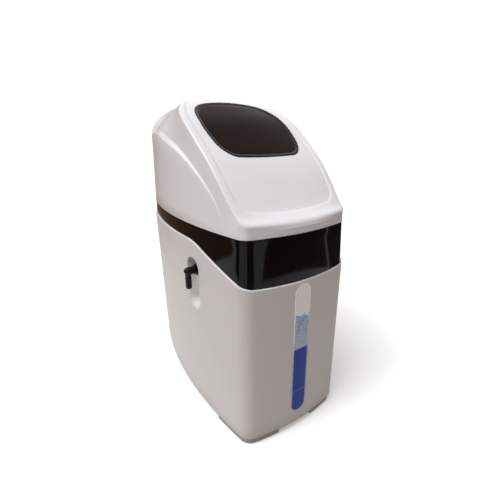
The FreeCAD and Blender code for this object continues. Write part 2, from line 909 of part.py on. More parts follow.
def window_prism(grow):
    """Block over the window's outline, square to the slope of the hood there."""
    length = size("window_length") + 2 * grow
    half = size("window_width") / 2 + grow
    front = size("window_front") - half_depth
    back_bow = size("window_back_bow")
    tilt = math.radians(size("window_tilt"))
    span = length / math.cos(tilt)
    deep = size("window_length")
    near_half = half - size("window_taper")
    corners = [Vector(-near_half, 0, 0), Vector(near_half, 0, 0),
               Vector(half, span - back_bow, 0), Vector(-half, span - back_bow, 0)]
    edges = [Part.Arc(corners[0], Vector(0, -size("window_front_bow"), 0), corners[1]).toShape(),
             Part.LineSegment(corners[1], corners[2]).toShape(),
             Part.Arc(corners[2], Vector(0, span, 0), corners[3]).toShape(),
             Part.LineSegment(corners[3], corners[0]).toShape()]
    shape = Part.Face(Part.Wire(edges)).extrude(Vector(0, 0, deep))

    def upright(block):
        """Edges that run through the block's depth."""
        return [edge for edge in block.Edges if edge.BoundBox.ZLength > deep / 2]

    near = [edge for edge in upright(shape) if edge.BoundBox.YMin < span / 2]
    shape = shape.makeFillet(size("window_front_radius") + grow, near)
    far = [edge for edge in upright(shape)
           if edge.BoundBox.YMin > span - 2 * back_bow and abs(edge.BoundBox.XMin) > half - PAST]
    shape = shape.makeFillet(size("window_back_radius") + grow, far)
    shape.translate(Vector(0, -grow / math.cos(tilt), -deep / 2))
    shape.rotate(Vector(0, 0, 0), Vector(1, 0, 0), size("window_tilt"))
    shape.translate(Vector(0, front, seam + window_level()))
    return shape


def window_level():
    """Height above the seam of the hood's surface at the window's front edge."""
    place = size("window_front")
    rows = [(row[0], row[1]) for row in hood_stations()]
    for (near, low), (far, high) in zip(rows, rows[1:]):
        if near <= place <= far:
            return low + (high - low) * (place - near) / (far - near)
    raise RuntimeError("the window starts outside the hood")


def hood():
    """Glossy white hood: shell, window opening, pipe notch and screw holes."""
    low = seam + size("hood_gap")
    outer = hood_form(0, 0, low)
    inner = hood_form(size("hood_wall"), size("hood_roof"), low - PAST)
    shape = outer.cut(inner).cut(window_prism(snug))
    notch = size("notch_width") / 2
    shape = shape.cut(box((-notch, half_depth - size("hood_back_radius"), low - PAST),
                          (notch, half_depth + PAST, seam + size("notch_height"))))
    for x, level in hinge_screw_places(1):
        shape = shape.cut(screw_hole(x, level))
    return shaped("hood_cover", shape.removeSplitter())


def skin(prism, above, below):
    """Part of a block between two depths under the hood's surface."""
    return prism.common(roof(above)).cut(roof(below))


def window():
    """Bevelled bezel with its flange and ledge, and the smoked lens in it."""
    rim = size("bezel_rim")
    depth = size("bezel_depth")
    ring = skin(window_prism(0).cut(window_prism(-rim)), -size("bezel_proud"), depth)
    flange = skin(window_prism(size("bezel_flange")).cut(window_prism(-PAST)),
                  size("hood_roof") + loose, depth)
    bottom = size("lens_sunk") + size("lens_thickness")
    ledge = window_prism(PAST - rim).cut(window_prism(-rim - size("bezel_ledge")))
    bezel = ring.fuse([flange, skin(ledge, bottom, depth)]).removeSplitter()
    glass = skin(window_prism(-rim - snug), size("lens_sunk"), bottom - running)
    return [shaped("window_bezel", bezel), shaped("window_lens", glass)]


def label():
    """Tall capsule label lying on the bowed front."""
    radius = size("label_width") / 2
    low = size("label_bottom") + radius
    high = size("label_bottom") + size("label_height") - radius
    front = -half_depth - 5 * PAST
    back = -half_depth / 2
    capsule = bar(radius, (0, front, low), (0, back, low))
    capsule = capsule.fuse([bar(radius, (0, front, high), (0, back, high)),
                            box((-radius, front, low), (radius, back, high))]).removeSplitter()
    layer = plan_ring(-size("label_thickness"), 0, 0, seam)
    return shaped("front_label", layer.common(capsule))


def hinges():
    """Two butt hinges at the back: leaves on band and hood, and their pins."""
    half = size("hinge_width") / 2
    knuckle = size("knuckle_radius")
    pin = size("hinge_pin_radius")
    middle = size("knuckle_middle") / 2
    height = size("hinge_leaf_height")
    inset = size("band_inset")
    axis_y = hinge_axis_y()
    low = seam + size("hood_gap")
    root = end_y(size("hinge_spread")) + snug
    below = plan_ring(inset - size("hinge_leaf"), inset, seam - height, seam - snug)
    above = leaning_prism(-size("hinge_leaf"), low).cut(leaning_prism(0, low))
    inside = plan_prism(inset, floor_top, low - loose)
    spans = ((-half, -middle - loose), (middle + loose, half))
    lower, upper, pins = [], [], []
    for x in (-size("hinge_spread"), size("hinge_spread")):

        def roll(radius, start, end):
            """Bar along the hinge's axis between two places across the hinge."""
            return bar(radius, (x + start, axis_y, seam), (x + end, axis_y, seam))

        reach = box((x - half, 0, seam - height), (x + half, half_depth + PAST, seam + height))
        plate = below.common(reach).cut(roll(knuckle + loose, -middle - loose, middle + loose))
        for start, end in spans:
            arm = box((x + start, root - inset, seam - knuckle), (x + end, axis_y, seam - snug))
            plate = plate.fuse([arm, roll(knuckle, start, end)])
        lower.append(plate.cut(roll(pin + pressed, -half - PAST, half + PAST)).cut(inside))
        plate = above.common(reach)
        for start, end in spans:
            plate = plate.cut(roll(knuckle + loose, start - loose, end + loose))
        arm = box((x - middle, root, low), (x + middle, axis_y, seam + knuckle))
        plate = plate.fuse([arm, roll(knuckle, -middle, middle)])
        upper.append(plate.cut(roll(pin + running, -half, half)).cut(leaning_prism(0, low)))
        pins.append(roll(pin, -half - PAST, half + PAST))
    for screw_x, level in hinge_screw_places(-1):
        lower = [plate.cut(screw_hole(screw_x, level)) for plate in lower]
    for screw_x, level in hinge_screw_places(1):
        upper = [plate.cut(screw_hole(screw_x, level)) for plate in upper]
    return [shaped("hinge_lower_leaves", Part.Compound(lower)),
            shaped("hinge_upper_leaves", Part.Compound(upper)),
            shaped("hinge_pins", Part.Compound(pins))]


def hinge_axis_y():
    """How far back the hood's hinge axis lies."""
    return end_y(size("hinge_spread") - size("hinge_width") / 2) + size("hinge_stand_off")


def screw(x, seat, level, way):
    """One screw along Y from its seat, with its head towards the back (1) or front (-1)."""
    shank = bar(size("screw_radius"), (x, seat - way * size("screw_length"), level),
                (x, seat + way * snug, level))
    head_shape = bar(size("screw_head"), (x, seat, level),
                     (x, seat + way * size("screw_head_height"), level))
    return shank.fuse(head_shape).removeSplitter()


def screws():
    """The case's screws, and those that ride on the hood."""
    seat = size("screw_seat")
    leaf = size("hinge_leaf")
    lean = size("hinge_screw_rise") * math.tan(math.radians(size("hood_draft")))
    case = [screw(x, end_y(abs(x)) - size("band_inset") + leaf + seat, level, 1)
            for x, level in hinge_screw_places(-1)]
    case += [screw(x, end_y(abs(x)) + seat, screw_level(), 1) for x in band_screw_places()]
    case += [screw(x, bracket_front(), level, -1) for x, level in bracket_screw_places()]
    riding = [screw(x, end_y(abs(x)) + leaf - lean + seat, level, 1)
              for x, level in hinge_screw_places(1)]
    return [shaped("case_screws", Part.Compound(case)), shaped("hood_screws", Part.Compound(riding))]


def overflow():
    """Overflow: bulkhead sleeve, gasket, nut and the elbow that turns in the sleeve."""
    face = scoop_floor()
    start = face - size("overflow_flange") - size("overflow_gasket")
    end = face + size("body_wall") + size("overflow_nut_height") + size("sleeve_past_nut")
    y, level = "-scoop_forward", "overflow_height"
    length = end - start
    fitting = turned("overflow_fitting", [
        ("overflow_sleeve_bore", 0), ("overflow_flange_radius", 0),
        ("overflow_flange_radius", "overflow_flange"), ("overflow_sleeve_radius", "overflow_flange"),
        ("overflow_sleeve_radius", length), ("overflow_sleeve_bore", length)], start, y, level, "X")
    gasket = tube("overflow_gasket", "overflow_flange_radius - 0.5", "overflow_sleeve_radius + snug",
                  "overflow_gasket", face - size("overflow_gasket"), y, level, "X")
    nut = hex_nut("overflow_nut", size("overflow_nut_radius"), size("overflow_sleeve_radius") + running,
                  size("overflow_nut_height"),
                  (face + size("body_wall"), -size("scoop_forward"), size("overflow_height")))
    return [fitting, gasket, nut, overflow_elbow(start)]


def overflow_elbow(start):
    """Barbed elbow whose stem turns in the sleeve, from the sleeve's outer face."""
    across = start - size("elbow_reach")
    y, level = -size("scoop_forward"), size("overflow_height")
    arm = size("elbow_radius")
    hole = size("elbow_bore")
    stem_end = (start + size("elbow_stem"), y, level)
    point = (across, y, level)
    foot = level - size("elbow_stub_length")
    shoulder = (start - loose, y, level)
    shape = bar(arm, point, shoulder).fuse([
        Part.makeSphere(arm, Vector(*point)),
        bar(arm + size("elbow_collar"), (start - loose - size("elbow_collar_length"), y, level), shoulder),
        bar(size("overflow_sleeve_bore") - running, (start - PAST, y, level), stem_end),
        bar(size("elbow_stub_radius"), point, (across, y, foot))])
    shape = shape.fuse(barbs((across, y, foot), (0, 0, 1), size("elbow_stub_radius")))
    for target in (stem_end, (across, y, foot - PAST)):
        shape = shape.cut(bar(hole, point, target))
    shape = shape.cut(Part.makeSphere(hole, Vector(*point)))
    return shaped("overflow_elbow", shape.removeSplitter())


def barbs(mouth, inward, radius):
    """Hose barbs from a spigot's mouth inwards, each widest on its inner side."""
    way = Vector(*inward)
    cones = []
    for number in range(int(size("barb_count"))):
        foot = Vector(*mouth) + way * (2 * PAST + size("barb_pitch") * number)
        cones.append(Part.makeCone(radius, radius + size("barb_rise"), size("barb_length"), foot, way))
    return cones


def hex_nut(label, radius, bore, height, start):
    """Hexagon nut along X."""
    x, y, z = start
    corners = [Vector(x, y + radius * math.cos(math.radians(60 * k)),
                      z + radius * math.sin(math.radians(60 * k))) for k in range(7)]
    prism = Part.Face(Part.makePolygon(corners)).extrude(Vector(height, 0, 0))
    return shaped(label, prism.cut(bar(bore, (x - 1, y, z), (x + height + 1, y, z))))


def vessel():
    """Resin vessel with its boot, resin, riser tube, basket and top screen."""
    tank = turned("resin_tank", [
        (0, 0), ("tank_radius", 0), ("tank_radius", "tank_height - tank_neck_height"),
        ("tank_neck_radius", "tank_height - tank_neck_height"), ("tank_neck_radius", "tank_height"),
        ("tank_neck_bore", "tank_height"),
        ("tank_neck_bore", "tank_height - tank_neck_height - tank_wall"),
        ("tank_radius - tank_wall", "tank_height - tank_neck_height - tank_wall"),
        ("tank_radius - tank_wall", "tank_wall"), (0, "tank_wall")], 0, "tank_back", TANK_FOOT)
    radius = size("tank_radius")
    wall = size("tank_wall")
    shoulder = size("tank_height") - size("tank_neck_height")
    near = 0.01

    def circle(at_radius, level):
        """Test for a circular edge at a radius and level."""
        def wanted(edge):
            """Tell whether an edge is that circle."""
            bounds = edge.BoundBox
            flat = bounds.ZLength < near and abs(bounds.ZMin - level) < near
            return flat and abs(bounds.XMax - at_radius) < near
        return wanted

    rounds = [("tank_top_radius", circle(radius, shoulder)),
              ("tank_top_radius - tank_wall", circle(radius - wall, shoulder - wall)),
              ("tank_bottom_radius", circle(radius, 0)),
              ("tank_bottom_radius - tank_wall", circle(radius - wall, wall))]
    for formula, wanted in rounds:
        rounded(tank, formula, wanted)
    boot_radius = "tank_radius + loose + boot_wall"
    boot = turned("tank_boot", [
        (0, 0), (boot_radius, 0), (boot_radius, "boot_height"), ("tank_radius + loose", "boot_height"),
        ("tank_radius + loose", "boot_floor"), (0, "boot_floor")], 0, "tank_back", FLOOR_TOP)
    inner = "(tank_radius - tank_wall - loose)"
    foot = "tank_wall + loose + resin_foot"
    basket_top = "tank_wall + loose + basket_height + loose"
    bed = turned("resin_bed", [
        ("riser_radius + loose", "resin_level"), (inner, "resin_level"),
        (inner, "tank_bottom_radius + 2 * resin_foot"), (inner + " - resin_slant", foot),
        ("basket_radius + loose", foot), ("basket_radius + loose", basket_top),
        ("riser_radius + loose", basket_top)], 0, "tank_back", TANK_FOOT)
    basket = turned("bottom_basket", [
        (0, 0), ("basket_radius", 0), ("basket_radius", "basket_height"),
        ("riser_radius + snug", "basket_height"),
        ("riser_radius + snug", "basket_height - basket_socket"),
        ("basket_radius - basket_wall", "basket_height - basket_socket"),
        ("basket_radius - basket_wall", "basket_wall"), (0, "basket_wall")],
        0, "tank_back", TANK_FOOT + " + tank_wall + loose")
    slotted(basket)
    riser_foot = "(tank_wall + loose + basket_height - basket_socket)"
    riser = tube("riser_tube", "riser_radius", "riser_bore", "tank_height - riser_short - " + riser_foot,
                 0, "tank_back", TANK_FOOT + " + " + riser_foot)
    screen = turned("top_screen", [
        ("riser_radius + snug", 0), ("riser_radius + screen_foot", 0),
        ("tank_neck_bore - screen_gap", "screen_height"), ("riser_radius + snug", "screen_height")],
        0, "tank_back", VALVE_SEAT + " - valve_plug_height - screen_height - snug")
    return [tank, boot, bed, basket, riser, screen]


def slotted(body):
    """Cut the upright slots round the basket's wall."""
    doc.recompute()
    turned_wall = body.Tip
    top = "basket_slot_low + basket_slot_height"
    sketch = new_sketch(body, body.Label + "_slot", "XZ_Plane", [
        ("-basket_slot", "basket_slot_low"), ("basket_slot", "basket_slot_low"),
        ("basket_slot", top), ("-basket_slot", top)])
    pocket = body.newObject("PartDesign::Pocket", body.Label + "_pocket")
    pocket.Profile = sketch
    bind(pocket, Length="basket_radius + 1")
    doc.recompute()
    if pocket.Shape.Volume > turned_wall.Shape.Volume - PAST:
        pocket.Reversed = True
    ring = body.newObject("PartDesign::PolarPattern", body.Label + "_ring")
    ring.Originals = [pocket]
    ring.Axis = (origin_plane(body, "Z_Axis"), [""])
    ring.Angle = 360
    bind(ring, Occurrences="basket_slots")
    body.Tip = ring
    doc.recompute()
    if body.Tip.Shape.Volume > turned_wall.Shape.Volume - PAST:
        raise RuntimeError(body.Label + " has no slots")


def valve():
    """Control valve body with its ports, housing, bosses and screw holes."""
    back = "tank_back"
    injector_y = back + " - injector_forward"
    drain_y = back + " + drain_back"
    brine_y = back + " - brine_port_forward"
    brine_z = VALVE_SEAT + " + brine_port_rise"
    hole_depth = "boss_reach - housing_radius - boss_floor"
    hole_start = "housing_radius + boss_floor"
    solid = joined("valve_solid", [
        rod("valve_plug", "tank_neck_bore - loose", "valve_plug_height", 0, back,
            VALVE_SEAT + " - valve_plug_height"),
        rod("valve_flange_disc", "valve_flange_radius", "valve_flange", 0, back, VALVE_SEAT),
        rod("valve_column", "valve_column_radius", "valve_column_height", 0, back, VALVE_SEAT),
        rod("inlet_port", "port_radius", "port_reach", "port_spread", back, PORT_LEVEL, "Y"),
        rod("outlet_port", "port_radius", "port_reach", "-port_spread", back, PORT_LEVEL, "Y"),
        rod("piston_housing", "housing_radius", "housing_length", 0, back + " - housing_front",
            PISTON_LEVEL, "Y"),
        rod("injector_boss", "boss_radius", "boss_reach", 0, injector_y, PISTON_LEVEL, "X"),
        rod("drain_boss", "boss_radius - 1", "boss_reach", 0, drain_y, PISTON_LEVEL, "X"),
        rod("brine_boss", "brine_port_radius", "brine_port_reach", 0, brine_y, brine_z, "-X"),
    ])
    holes = [
        rod("riser_seat", "riser_radius + snug", "riser_seat_depth", 0, back,
            VALVE_SEAT + " - valve_plug_height"),
        rod("inlet_hole", "port_bore", "port_reach - port_hole_start", "port_spread",
            back + " + port_hole_start", PORT_LEVEL, "Y"),
        rod("outlet_hole", "port_bore", "port_reach - port_hole_start", "-port_spread",
            back + " + port_hole_start", PORT_LEVEL, "Y"),
        rod("housing_hole", "housing_bore", "housing_length - housing_end_wall", 0,
            back + " - housing_front", PISTON_LEVEL, "Y"),
        rod("injector_hole", "boss_radius - boss_wall", hole_depth, hole_start, injector_y,
            PISTON_LEVEL, "X"),
        rod("drain_hole", "drain_radius + 1", hole_depth, hole_start, drain_y, PISTON_LEVEL, "X"),
        rod("brine_hole", "brine_tube_radius + snug", "brine_port_depth",
            "-(brine_port_reach - brine_port_depth)", brine_y, brine_z, "-X"),
    ]
    holes += bracket_holes("housing", back + " - housing_front", "screw_length")
    return bored("valve_body", solid, holes)


def bracket_holes(label, y, depth):
    """Four screw holes along Y on the ring of the bracket's screws."""
    ring = "(housing_radius - bracket_screw_inset) * sqrt(0.5)"
    return [rod("%s_screw_hole_%d%d" % (label, across, up), "screw_radius + pressed", depth,
                "%d * %s" % (2 * across - 1, ring), y, "%s + %d * %s" % (PISTON_LEVEL, 2 * up - 1, ring), "Y")
            for across in (0, 1) for up in (0, 1)]


def bracket_screw_places():
    """Places across and above of the bracket's four screws."""
    reach = (size("housing_radius") - size("bracket_screw_inset")) * math.sqrt(0.5)
    return [(across * reach, piston_level + up * reach) for across in (-1, 1) for up in (-1, 1)]


def bracket_front():
    """How far back the front face of the drive's bracket lies."""
    return size("tank_back") - size("housing_front") - size("plug_flange") - size("bracket_thickness")


def piston_parts():
    """End plug, spacer stack with its seals, piston and rod."""
    front = "tank_back - housing_front"
    blank = turned("end_plug_blank", [
        ("rod_radius + running", "-plug_flange"), ("housing_radius", "-plug_flange"),
        ("housing_radius", 0), ("housing_bore - snug", 0), ("housing_bore - snug", "plug_depth"),
        ("rod_radius + running", "plug_depth")], 0, front, PISTON_LEVEL, "Y")
    plug = bored("end_plug", blank, bracket_holes("plug", front + " - plug_flange - 1", "plug_flange + 2"))
    length = "(housing_length - housing_end_wall - stack_start - snug)"
    outer = "(housing_bore - snug)"
    points = [(outer + " - stack_wall", 0), (outer, 0)]
    count = int(size("seal_count"))
    for number in range(1, count):
        level = "%s * %d / %d" % (length, number, count)
        groove = outer + " - stack_groove_depth"
        points += [(outer, level + " - stack_groove / 2"), (groove, level + " - stack_groove / 2"),
                   (groove, level + " + stack_groove / 2"), (outer, level + " + stack_groove / 2")]
    points += [(outer, length), (outer + " - stack_wall", length)]
    stack = turned("spacer_stack", points, 0, front + " + stack_start", PISTON_LEVEL, "Y")
    first = size("tank_back") - size("housing_front") + size("seal_first")
    outer_radius = size("housing_bore") - snug - size("stack_wall") - running
    rings = []
    for number in range(count):
        y = first + number * size("seal_pitch")
        start = (0, y, piston_level)
        end = (0, y + size("seal_thickness"), piston_level)
        rings.append(bar(outer_radius, start, end).cut(bar(size("seal_bore"), start, end)))
    seals = shaped("seal_rings", Part.Compound(rings))
    foot = front + " + piston_back"
    hole = "rod_radius + running"
    end_start = "piston_length - piston_end_land"
    middle_end = end_start + " - piston_gap - 2 * piston_slope"
    middle_start = middle_end + " - piston_middle_land"
    piston = turned("piston", [
        (hole, 0), ("piston_radius", 0), ("piston_radius", "piston_land"),
        ("piston_waist", "piston_land + piston_slope"), ("piston_waist", middle_start + " - piston_slope"),
        ("piston_radius", middle_start), ("piston_radius", middle_end),
        ("piston_waist", middle_end + " + piston_slope"), ("piston_waist", end_start + " - piston_slope"),
        ("piston_radius", end_start), ("piston_radius", "piston_length"), (hole, "piston_length")],
        0, foot, PISTON_LEVEL, "Y")
    points = [(0, 0), ("rod_radius - rod_thread_depth", 0), ("rod_radius", "rod_thread_depth")]
    for turn in range(int(size("rod_thread_turns"))):
        low = "rod_thread_pitch * %.1f" % (turn + 0.8)
        groove = "rod_radius - rod_thread_depth"
        points += [("rod_radius", low), (groove, low + " + rod_thread_depth"),
                   (groove, low + " + 2 * rod_thread_depth"), ("rod_radius", low + " + 3 * rod_thread_depth")]
    points += [("rod_radius", "rod_reach"), (0, "rod_reach")]
    shaft = turned("piston_rod", points, 0, foot + " - rod_reach + rod_bite", PISTON_LEVEL, "Y")
    return [plug, stack, seals, piston, shaft]


def injector_parts():
    """Injector nozzle and its screw cap, and the barbed drain elbow."""
    y = "tank_back - injector_forward"
    plug = "boss_radius - boss_wall - snug"
    nozzle = turned("injector", [
        ("injector_bore", 0), (plug, 0), (plug + " - 2", "injector_taper"),
        ("injector_tip", "injector_length"), ("injector_bore", "injector_length")],
        "housing_radius + boss_floor + loose", y, PISTON_LEVEL, "X")
    top = "injector_cap_plug + injector_cap_height"
    cap = turned("injector_cap", [
        (0, 0), (plug, 0), (plug, "injector_cap_plug"), ("boss_radius + 1", "injector_cap_plug"),
        ("boss_radius + 1", top + " - injector_cap_crown"),
        ("boss_radius + 1 - 2 * injector_cap_crown", top), (0, top)],
        "boss_reach - injector_cap_plug + pressed", y, PISTON_LEVEL, "X")
    start_y = size("tank_back") + size("drain_back")
    reach = size("boss_reach")
    radius = size("drain_radius")
    sleeve = radius + size("drain_sleeve")
    point = (size("drain_reach"), start_y, piston_level)
    mouth = (size("drain_reach"), start_y + size("drain_length"), piston_level)
    past_mouth = (mouth[0], mouth[1] + PAST, mouth[2])
    shape = bar(sleeve, (reach + loose, start_y, piston_level), point).fuse([
        bar(radius + 1 - snug, (reach - size("drain_plug"), start_y, piston_level),
            (reach + PAST, start_y, piston_level)),
        Part.makeSphere(sleeve, Vector(*point)),
        bar(sleeve, point, (point[0], start_y + size("drain_sleeve_length"), piston_level)),
        bar(radius, point, mouth)])
    shape = shape.fuse(barbs(mouth, (0, -1, 0), radius))
    bore = size("drain_bore")
    shape = shape.cut(bar(bore, (reach - size("drain_plug") - PAST, start_y, piston_level), point))
    shape = shape.cut(bar(bore, point, past_mouth)).cut(Part.makeSphere(bore, Vector(*point)))
    return [nozzle, cap, shaped("drain_elbow", shape.removeSplitter())]


def brine_line():
    """Elbow at the valve, its nut, and the straight tube that runs into the brine well."""
    x = -size("well_x")
    y = size("tank_back") - size("brine_port_forward")
    level = brine_level()
    radius = size("brine_port_radius") - PAST
    start = -size("brine_port_reach")
    tube_radius = size("brine_tube_radius")
    bore = size("brine_tube_bore")
    mouth = y - size("brine_elbow_reach")
    seat = mouth + size("brine_tube_seat")
    depth = size("brine_port_depth")
    point = (x, y, level)
    shape = Part.makeSphere(radius + size("brine_elbow_ball"), Vector(*point))
    shape = shape.fuse(bar(radius, (start - loose, y, level), point))
    shape = shape.fuse(bar(radius, point, (x, mouth, level)))
    shape = shape.fuse(bar(tube_radius, (start + depth - PAST, y, level), (start - PAST, y, level)))
    shape = shape.cut(Part.makeSphere(bore + size("brine_elbow_chamber"), Vector(*point)))
    shape = shape.cut(bar(bore, (start + depth, y, level), point))
    shape = shape.cut(bar(bore, point, (x, mouth - PAST, level)))
    shape = shape.cut(bar(tube_radius + running, (x, seat, level), (x, mouth - PAST, level)))
    elbow = shaped("brine_elbow", shape.removeSplitter())
    nut_end = mouth - size("brine_nut_floor")
    nut_start = nut_end + size("brine_nut_length")
    outer = radius + PAST + size("brine_nut_wall")
    shape = bar(outer, (x, nut_start, level), (x, nut_end, level))
    shape = shape.cut(bar(radius + running, (x, nut_start + PAST, level), (x, mouth - loose, level)))
    shape = shape.cut(bar(tube_radius + running, (x, mouth, level), (x, nut_end - PAST, level)))
    nut = shaped("brine_nut", shape)
    end = -size("well_forward") + size("riser_elbow_reach") - size("brine_tube_seat")
    hose = bar(tube_radius, (x, seat - loose, level), (x, end + loose, level))
    hose = hose.cut(bar(bore, (x, seat, level), (x, end, level)))
    return [elbow, nut, shaped("brine_tube", hose)]


def brine_level():
    """Level of the brine tube between the valve and the well."""
    return valve_seat + size("brine_port_rise")


def drive_centres():
    """Centres of drive gear, idler and pinion across and above."""
    module = size("gear_module")
    angle = math.radians(size("idler_angle"))
    reach = module * (size("drive_teeth") + size("idler_teeth")) / 2
    idler = (reach * math.cos(angle), piston_level + reach * math.sin(angle))
    lift = module * (size("idler_teeth") + size("pinion_teeth")) / 2
    return (0.0, piston_level), idler, (idler[0], idler[1] + lift)


def gear_solid(teeth, phase, centre, start, bore):
    """Spur gear along Y with involute flanks, a tooth at the phase angle in degrees."""
    module = size("gear_module")
    pitch = module * teeth / 2
    base = pitch * math.cos(math.radians(size("gear_pressure")))
    outer = pitch + size("gear_addendum") * module
    root = pitch - size("gear_dedendum") * module
    half_tooth = math.pi / (2 * teeth) - size("gear_backlash") / (2 * pitch)

    def roll(radius):
        """Involute angle at a radius."""
        if radius <= base:
            return 0.0
        turn = math.sqrt((radius / base) ** 2 - 1)
        return turn - math.atan(turn)

    corners = []
    for tooth in range(teeth):
        middle = math.radians(phase) + 2 * math.pi * tooth / teeth
        flank = []
        for part in range(5):
            radius = root + (outer - root) * part / 4
            flank.append((radius, half_tooth + roll(pitch) - roll(radius)))
        for radius, offset in flank:
            corners.append((radius, middle - offset))
        for radius, offset in reversed(flank):
            corners.append((radius, middle + offset))
    points = [Vector(centre[0] + radius * math.cos(angle), start, centre[1] + radius * math.sin(angle))
              for radius, angle in corners]
    disc = Part.Face(Part.makePolygon(points + points[:1]))
    solid = disc.extrude(Vector(0, size("gear_width"), 0))
    return solid.cut(bar(bore, (centre[0], start - 1, centre[1]),
                         (centre[0], start + size("gear_width") + 1, centre[1])))


def gears():
    """Drive gear with its hub, idler, and motor pinion with its shaft."""
    drive, idler, pinion = drive_centres()
    plate = bracket_front()
    start = plate - size("gear_width") - size("gear_gap")
    hub_end = plate + size("hub_reach")
    rod_hole = size("rod_radius") + running
    drive_solid = gear_solid(int(size("drive_teeth")), 0, drive, start, rod_hole)
    boss = bar(size("hub_radius"), (drive[0], start + PAST, drive[1]), (drive[0], hub_end, drive[1]))
    boss = boss.cut(bar(rod_hole, (drive[0], start, drive[1]), (drive[0], hub_end + PAST, drive[1])))
    way = size("idler_angle")
    drive_phase = way * size("drive_teeth") / 360
    idler_phase = way + 180 - (0.5 - drive_phase) * 360 / size("idler_teeth")
    idler_solid = gear_solid(int(size("idler_teeth")), idler_phase, idler, start,
                             size("idler_axle_radius") + running)
    idler_turn = (90 - idler_phase) * size("idler_teeth") / 360
    pinion_phase = 270 - (0.5 - idler_turn) * 360 / size("pinion_teeth")
    pinion_solid = gear_solid(int(size("pinion_teeth")), pinion_phase, pinion, start, PAST / 2)
    shaft_end = plate + size("bracket_thickness") + size("shaft_reach")
    shaft = bar(size("shaft_radius"), (pinion[0], start, pinion[1]), (pinion[0], shaft_end, pinion[1]))
    return [shaped("drive_gear", drive_solid.fuse(boss).removeSplitter()),
            shaped("idler_gear", idler_solid),
            shaped("motor_pinion", pinion_solid.fuse(shaft).removeSplitter())]


def drive_frame():
    """Bracket plate with the idler's axle, and the motor behind it."""
    drive, idler, pinion = drive_centres()
    front = bracket_front()
    back = front + size("bracket_thickness")
    half = size("cover_width") / 2 - size("cover_wall") - loose
    low = valve_seat + size("cover_bottom") + size("bracket_rise")

    def along(radius, place_xz, start, end):
        """Bar along Y at a place across and above."""
        return bar(radius, (place_xz[0], start, place_xz[1]), (place_xz[0], end, place_xz[1]))

    plate = box((-half, front, low), (half, back, low + size("bracket_height")))
    plate = plate.cut(along(size("hub_radius") + running, drive, front - PAST, back + PAST))
    plate = plate.cut(along(size("shaft_radius") + size("shaft_hole"), pinion, front - PAST, back + PAST))
    axle = size("idler_axle_radius")
    gear_front = front - size("gear_gap") - size("gear_width")
    head_front = gear_front - loose - size("axle_head_thickness")
    plate = plate.fuse([
        along(axle, idler, head_front, front + PAST),
        along(axle + size("axle_head"), idler, head_front, gear_front - loose),
        along(axle + size("axle_spacer"), idler, front - size("gear_gap") + loose, front + PAST)])
    for x, level in bracket_screw_places():
        plate = plate.cut(along(size("screw_radius") + pressed, (x, level), front - PAST, back + PAST))
    motor = turned("drive_motor", [
        ("shaft_radius + running", 0), ("motor_radius", 0), ("motor_radius", "motor_length - motor_bevel"),
        ("motor_radius - motor_bevel", "motor_length"), (0, "motor_length"), (0, "shaft_reach + 3"),
        ("shaft_radius + running", "shaft_reach + 3")], pinion[0], back, pinion[1], "Y")
    return [shaped("drive_bracket", plate.removeSplitter()), motor]


def console_frame():
    """Placement of the sloping console: its own Z points out of the panel."""
    run = size("console_run")
    tilt = size("console_tilt")
    front = size("tank_back") - size("cover_front")
    rise = run * math.tan(math.radians(tilt))
    middle = Vector(0, front + run / 2, valve_seat + size("cover_lip_rise") + rise / 2)
    return Placement(middle, Rotation(Vector(1, 0, 0), tilt))


def on_console(shape):
    """Move a shape from the console's own frame to its place."""
    moved = shape.copy()
    moved.Placement = console_frame().multiply(moved.Placement)
    return moved


def head_profile(inset, bottom_drop, back_grow):
    """Side profile of the head cover, moved inwards by an inset."""
    outer_front = size("tank_back") - size("cover_front")
    front = outer_front + inset
    run = size("console_run")
    slope = math.tan(math.radians(size("console_tilt")))
    drop = inset / math.cos(math.radians(size("console_tilt")))
    lip = valve_seat + size("cover_lip_rise") - drop + inset * slope
    low = valve_seat + size("cover_bottom") - bottom_drop
    peak_y = outer_front + run
    peak = valve_seat + size("cover_lip_rise") + run * slope - drop
    back = peak_y + size("cover_crown") + back_grow
    step_y = size("tank_back") - size("housing_front") + size("cover_step_back") + back_grow
    step = valve_seat + size("cover_step_rise") - bottom_drop
    corners = [(front, low), (front, lip), (peak_y, peak), (back, peak), (back, step), (step_y, step),
               (step_y, low)]
    return [Vector(0, y, z) for y, z in corners]


def slab(points, reach):
    """Block over a side profile, as far to the left as to the right."""
    face = Part.Face(Part.makePolygon(points + points[:1]))
    face.translate(Vector(-reach, 0, 0))
    return face.extrude(Vector(2 * reach, 0, 0))


def button_places():
    """Place across the console of each button, by name."""
    spread = size("button_spread")
    names = ("menu_button", "down_button", "up_button", "set_button")
    return [(spread * (number - 1.5), name) for number, name in enumerate(names)]


def jack_place():
    """Centre of the power inlet on the cover's right wall, behind the front and above."""
    return (size("tank_back") - size("cover_front") + size("jack_back"),
            valve_seat + size("cover_bottom") + size("jack_rise"))


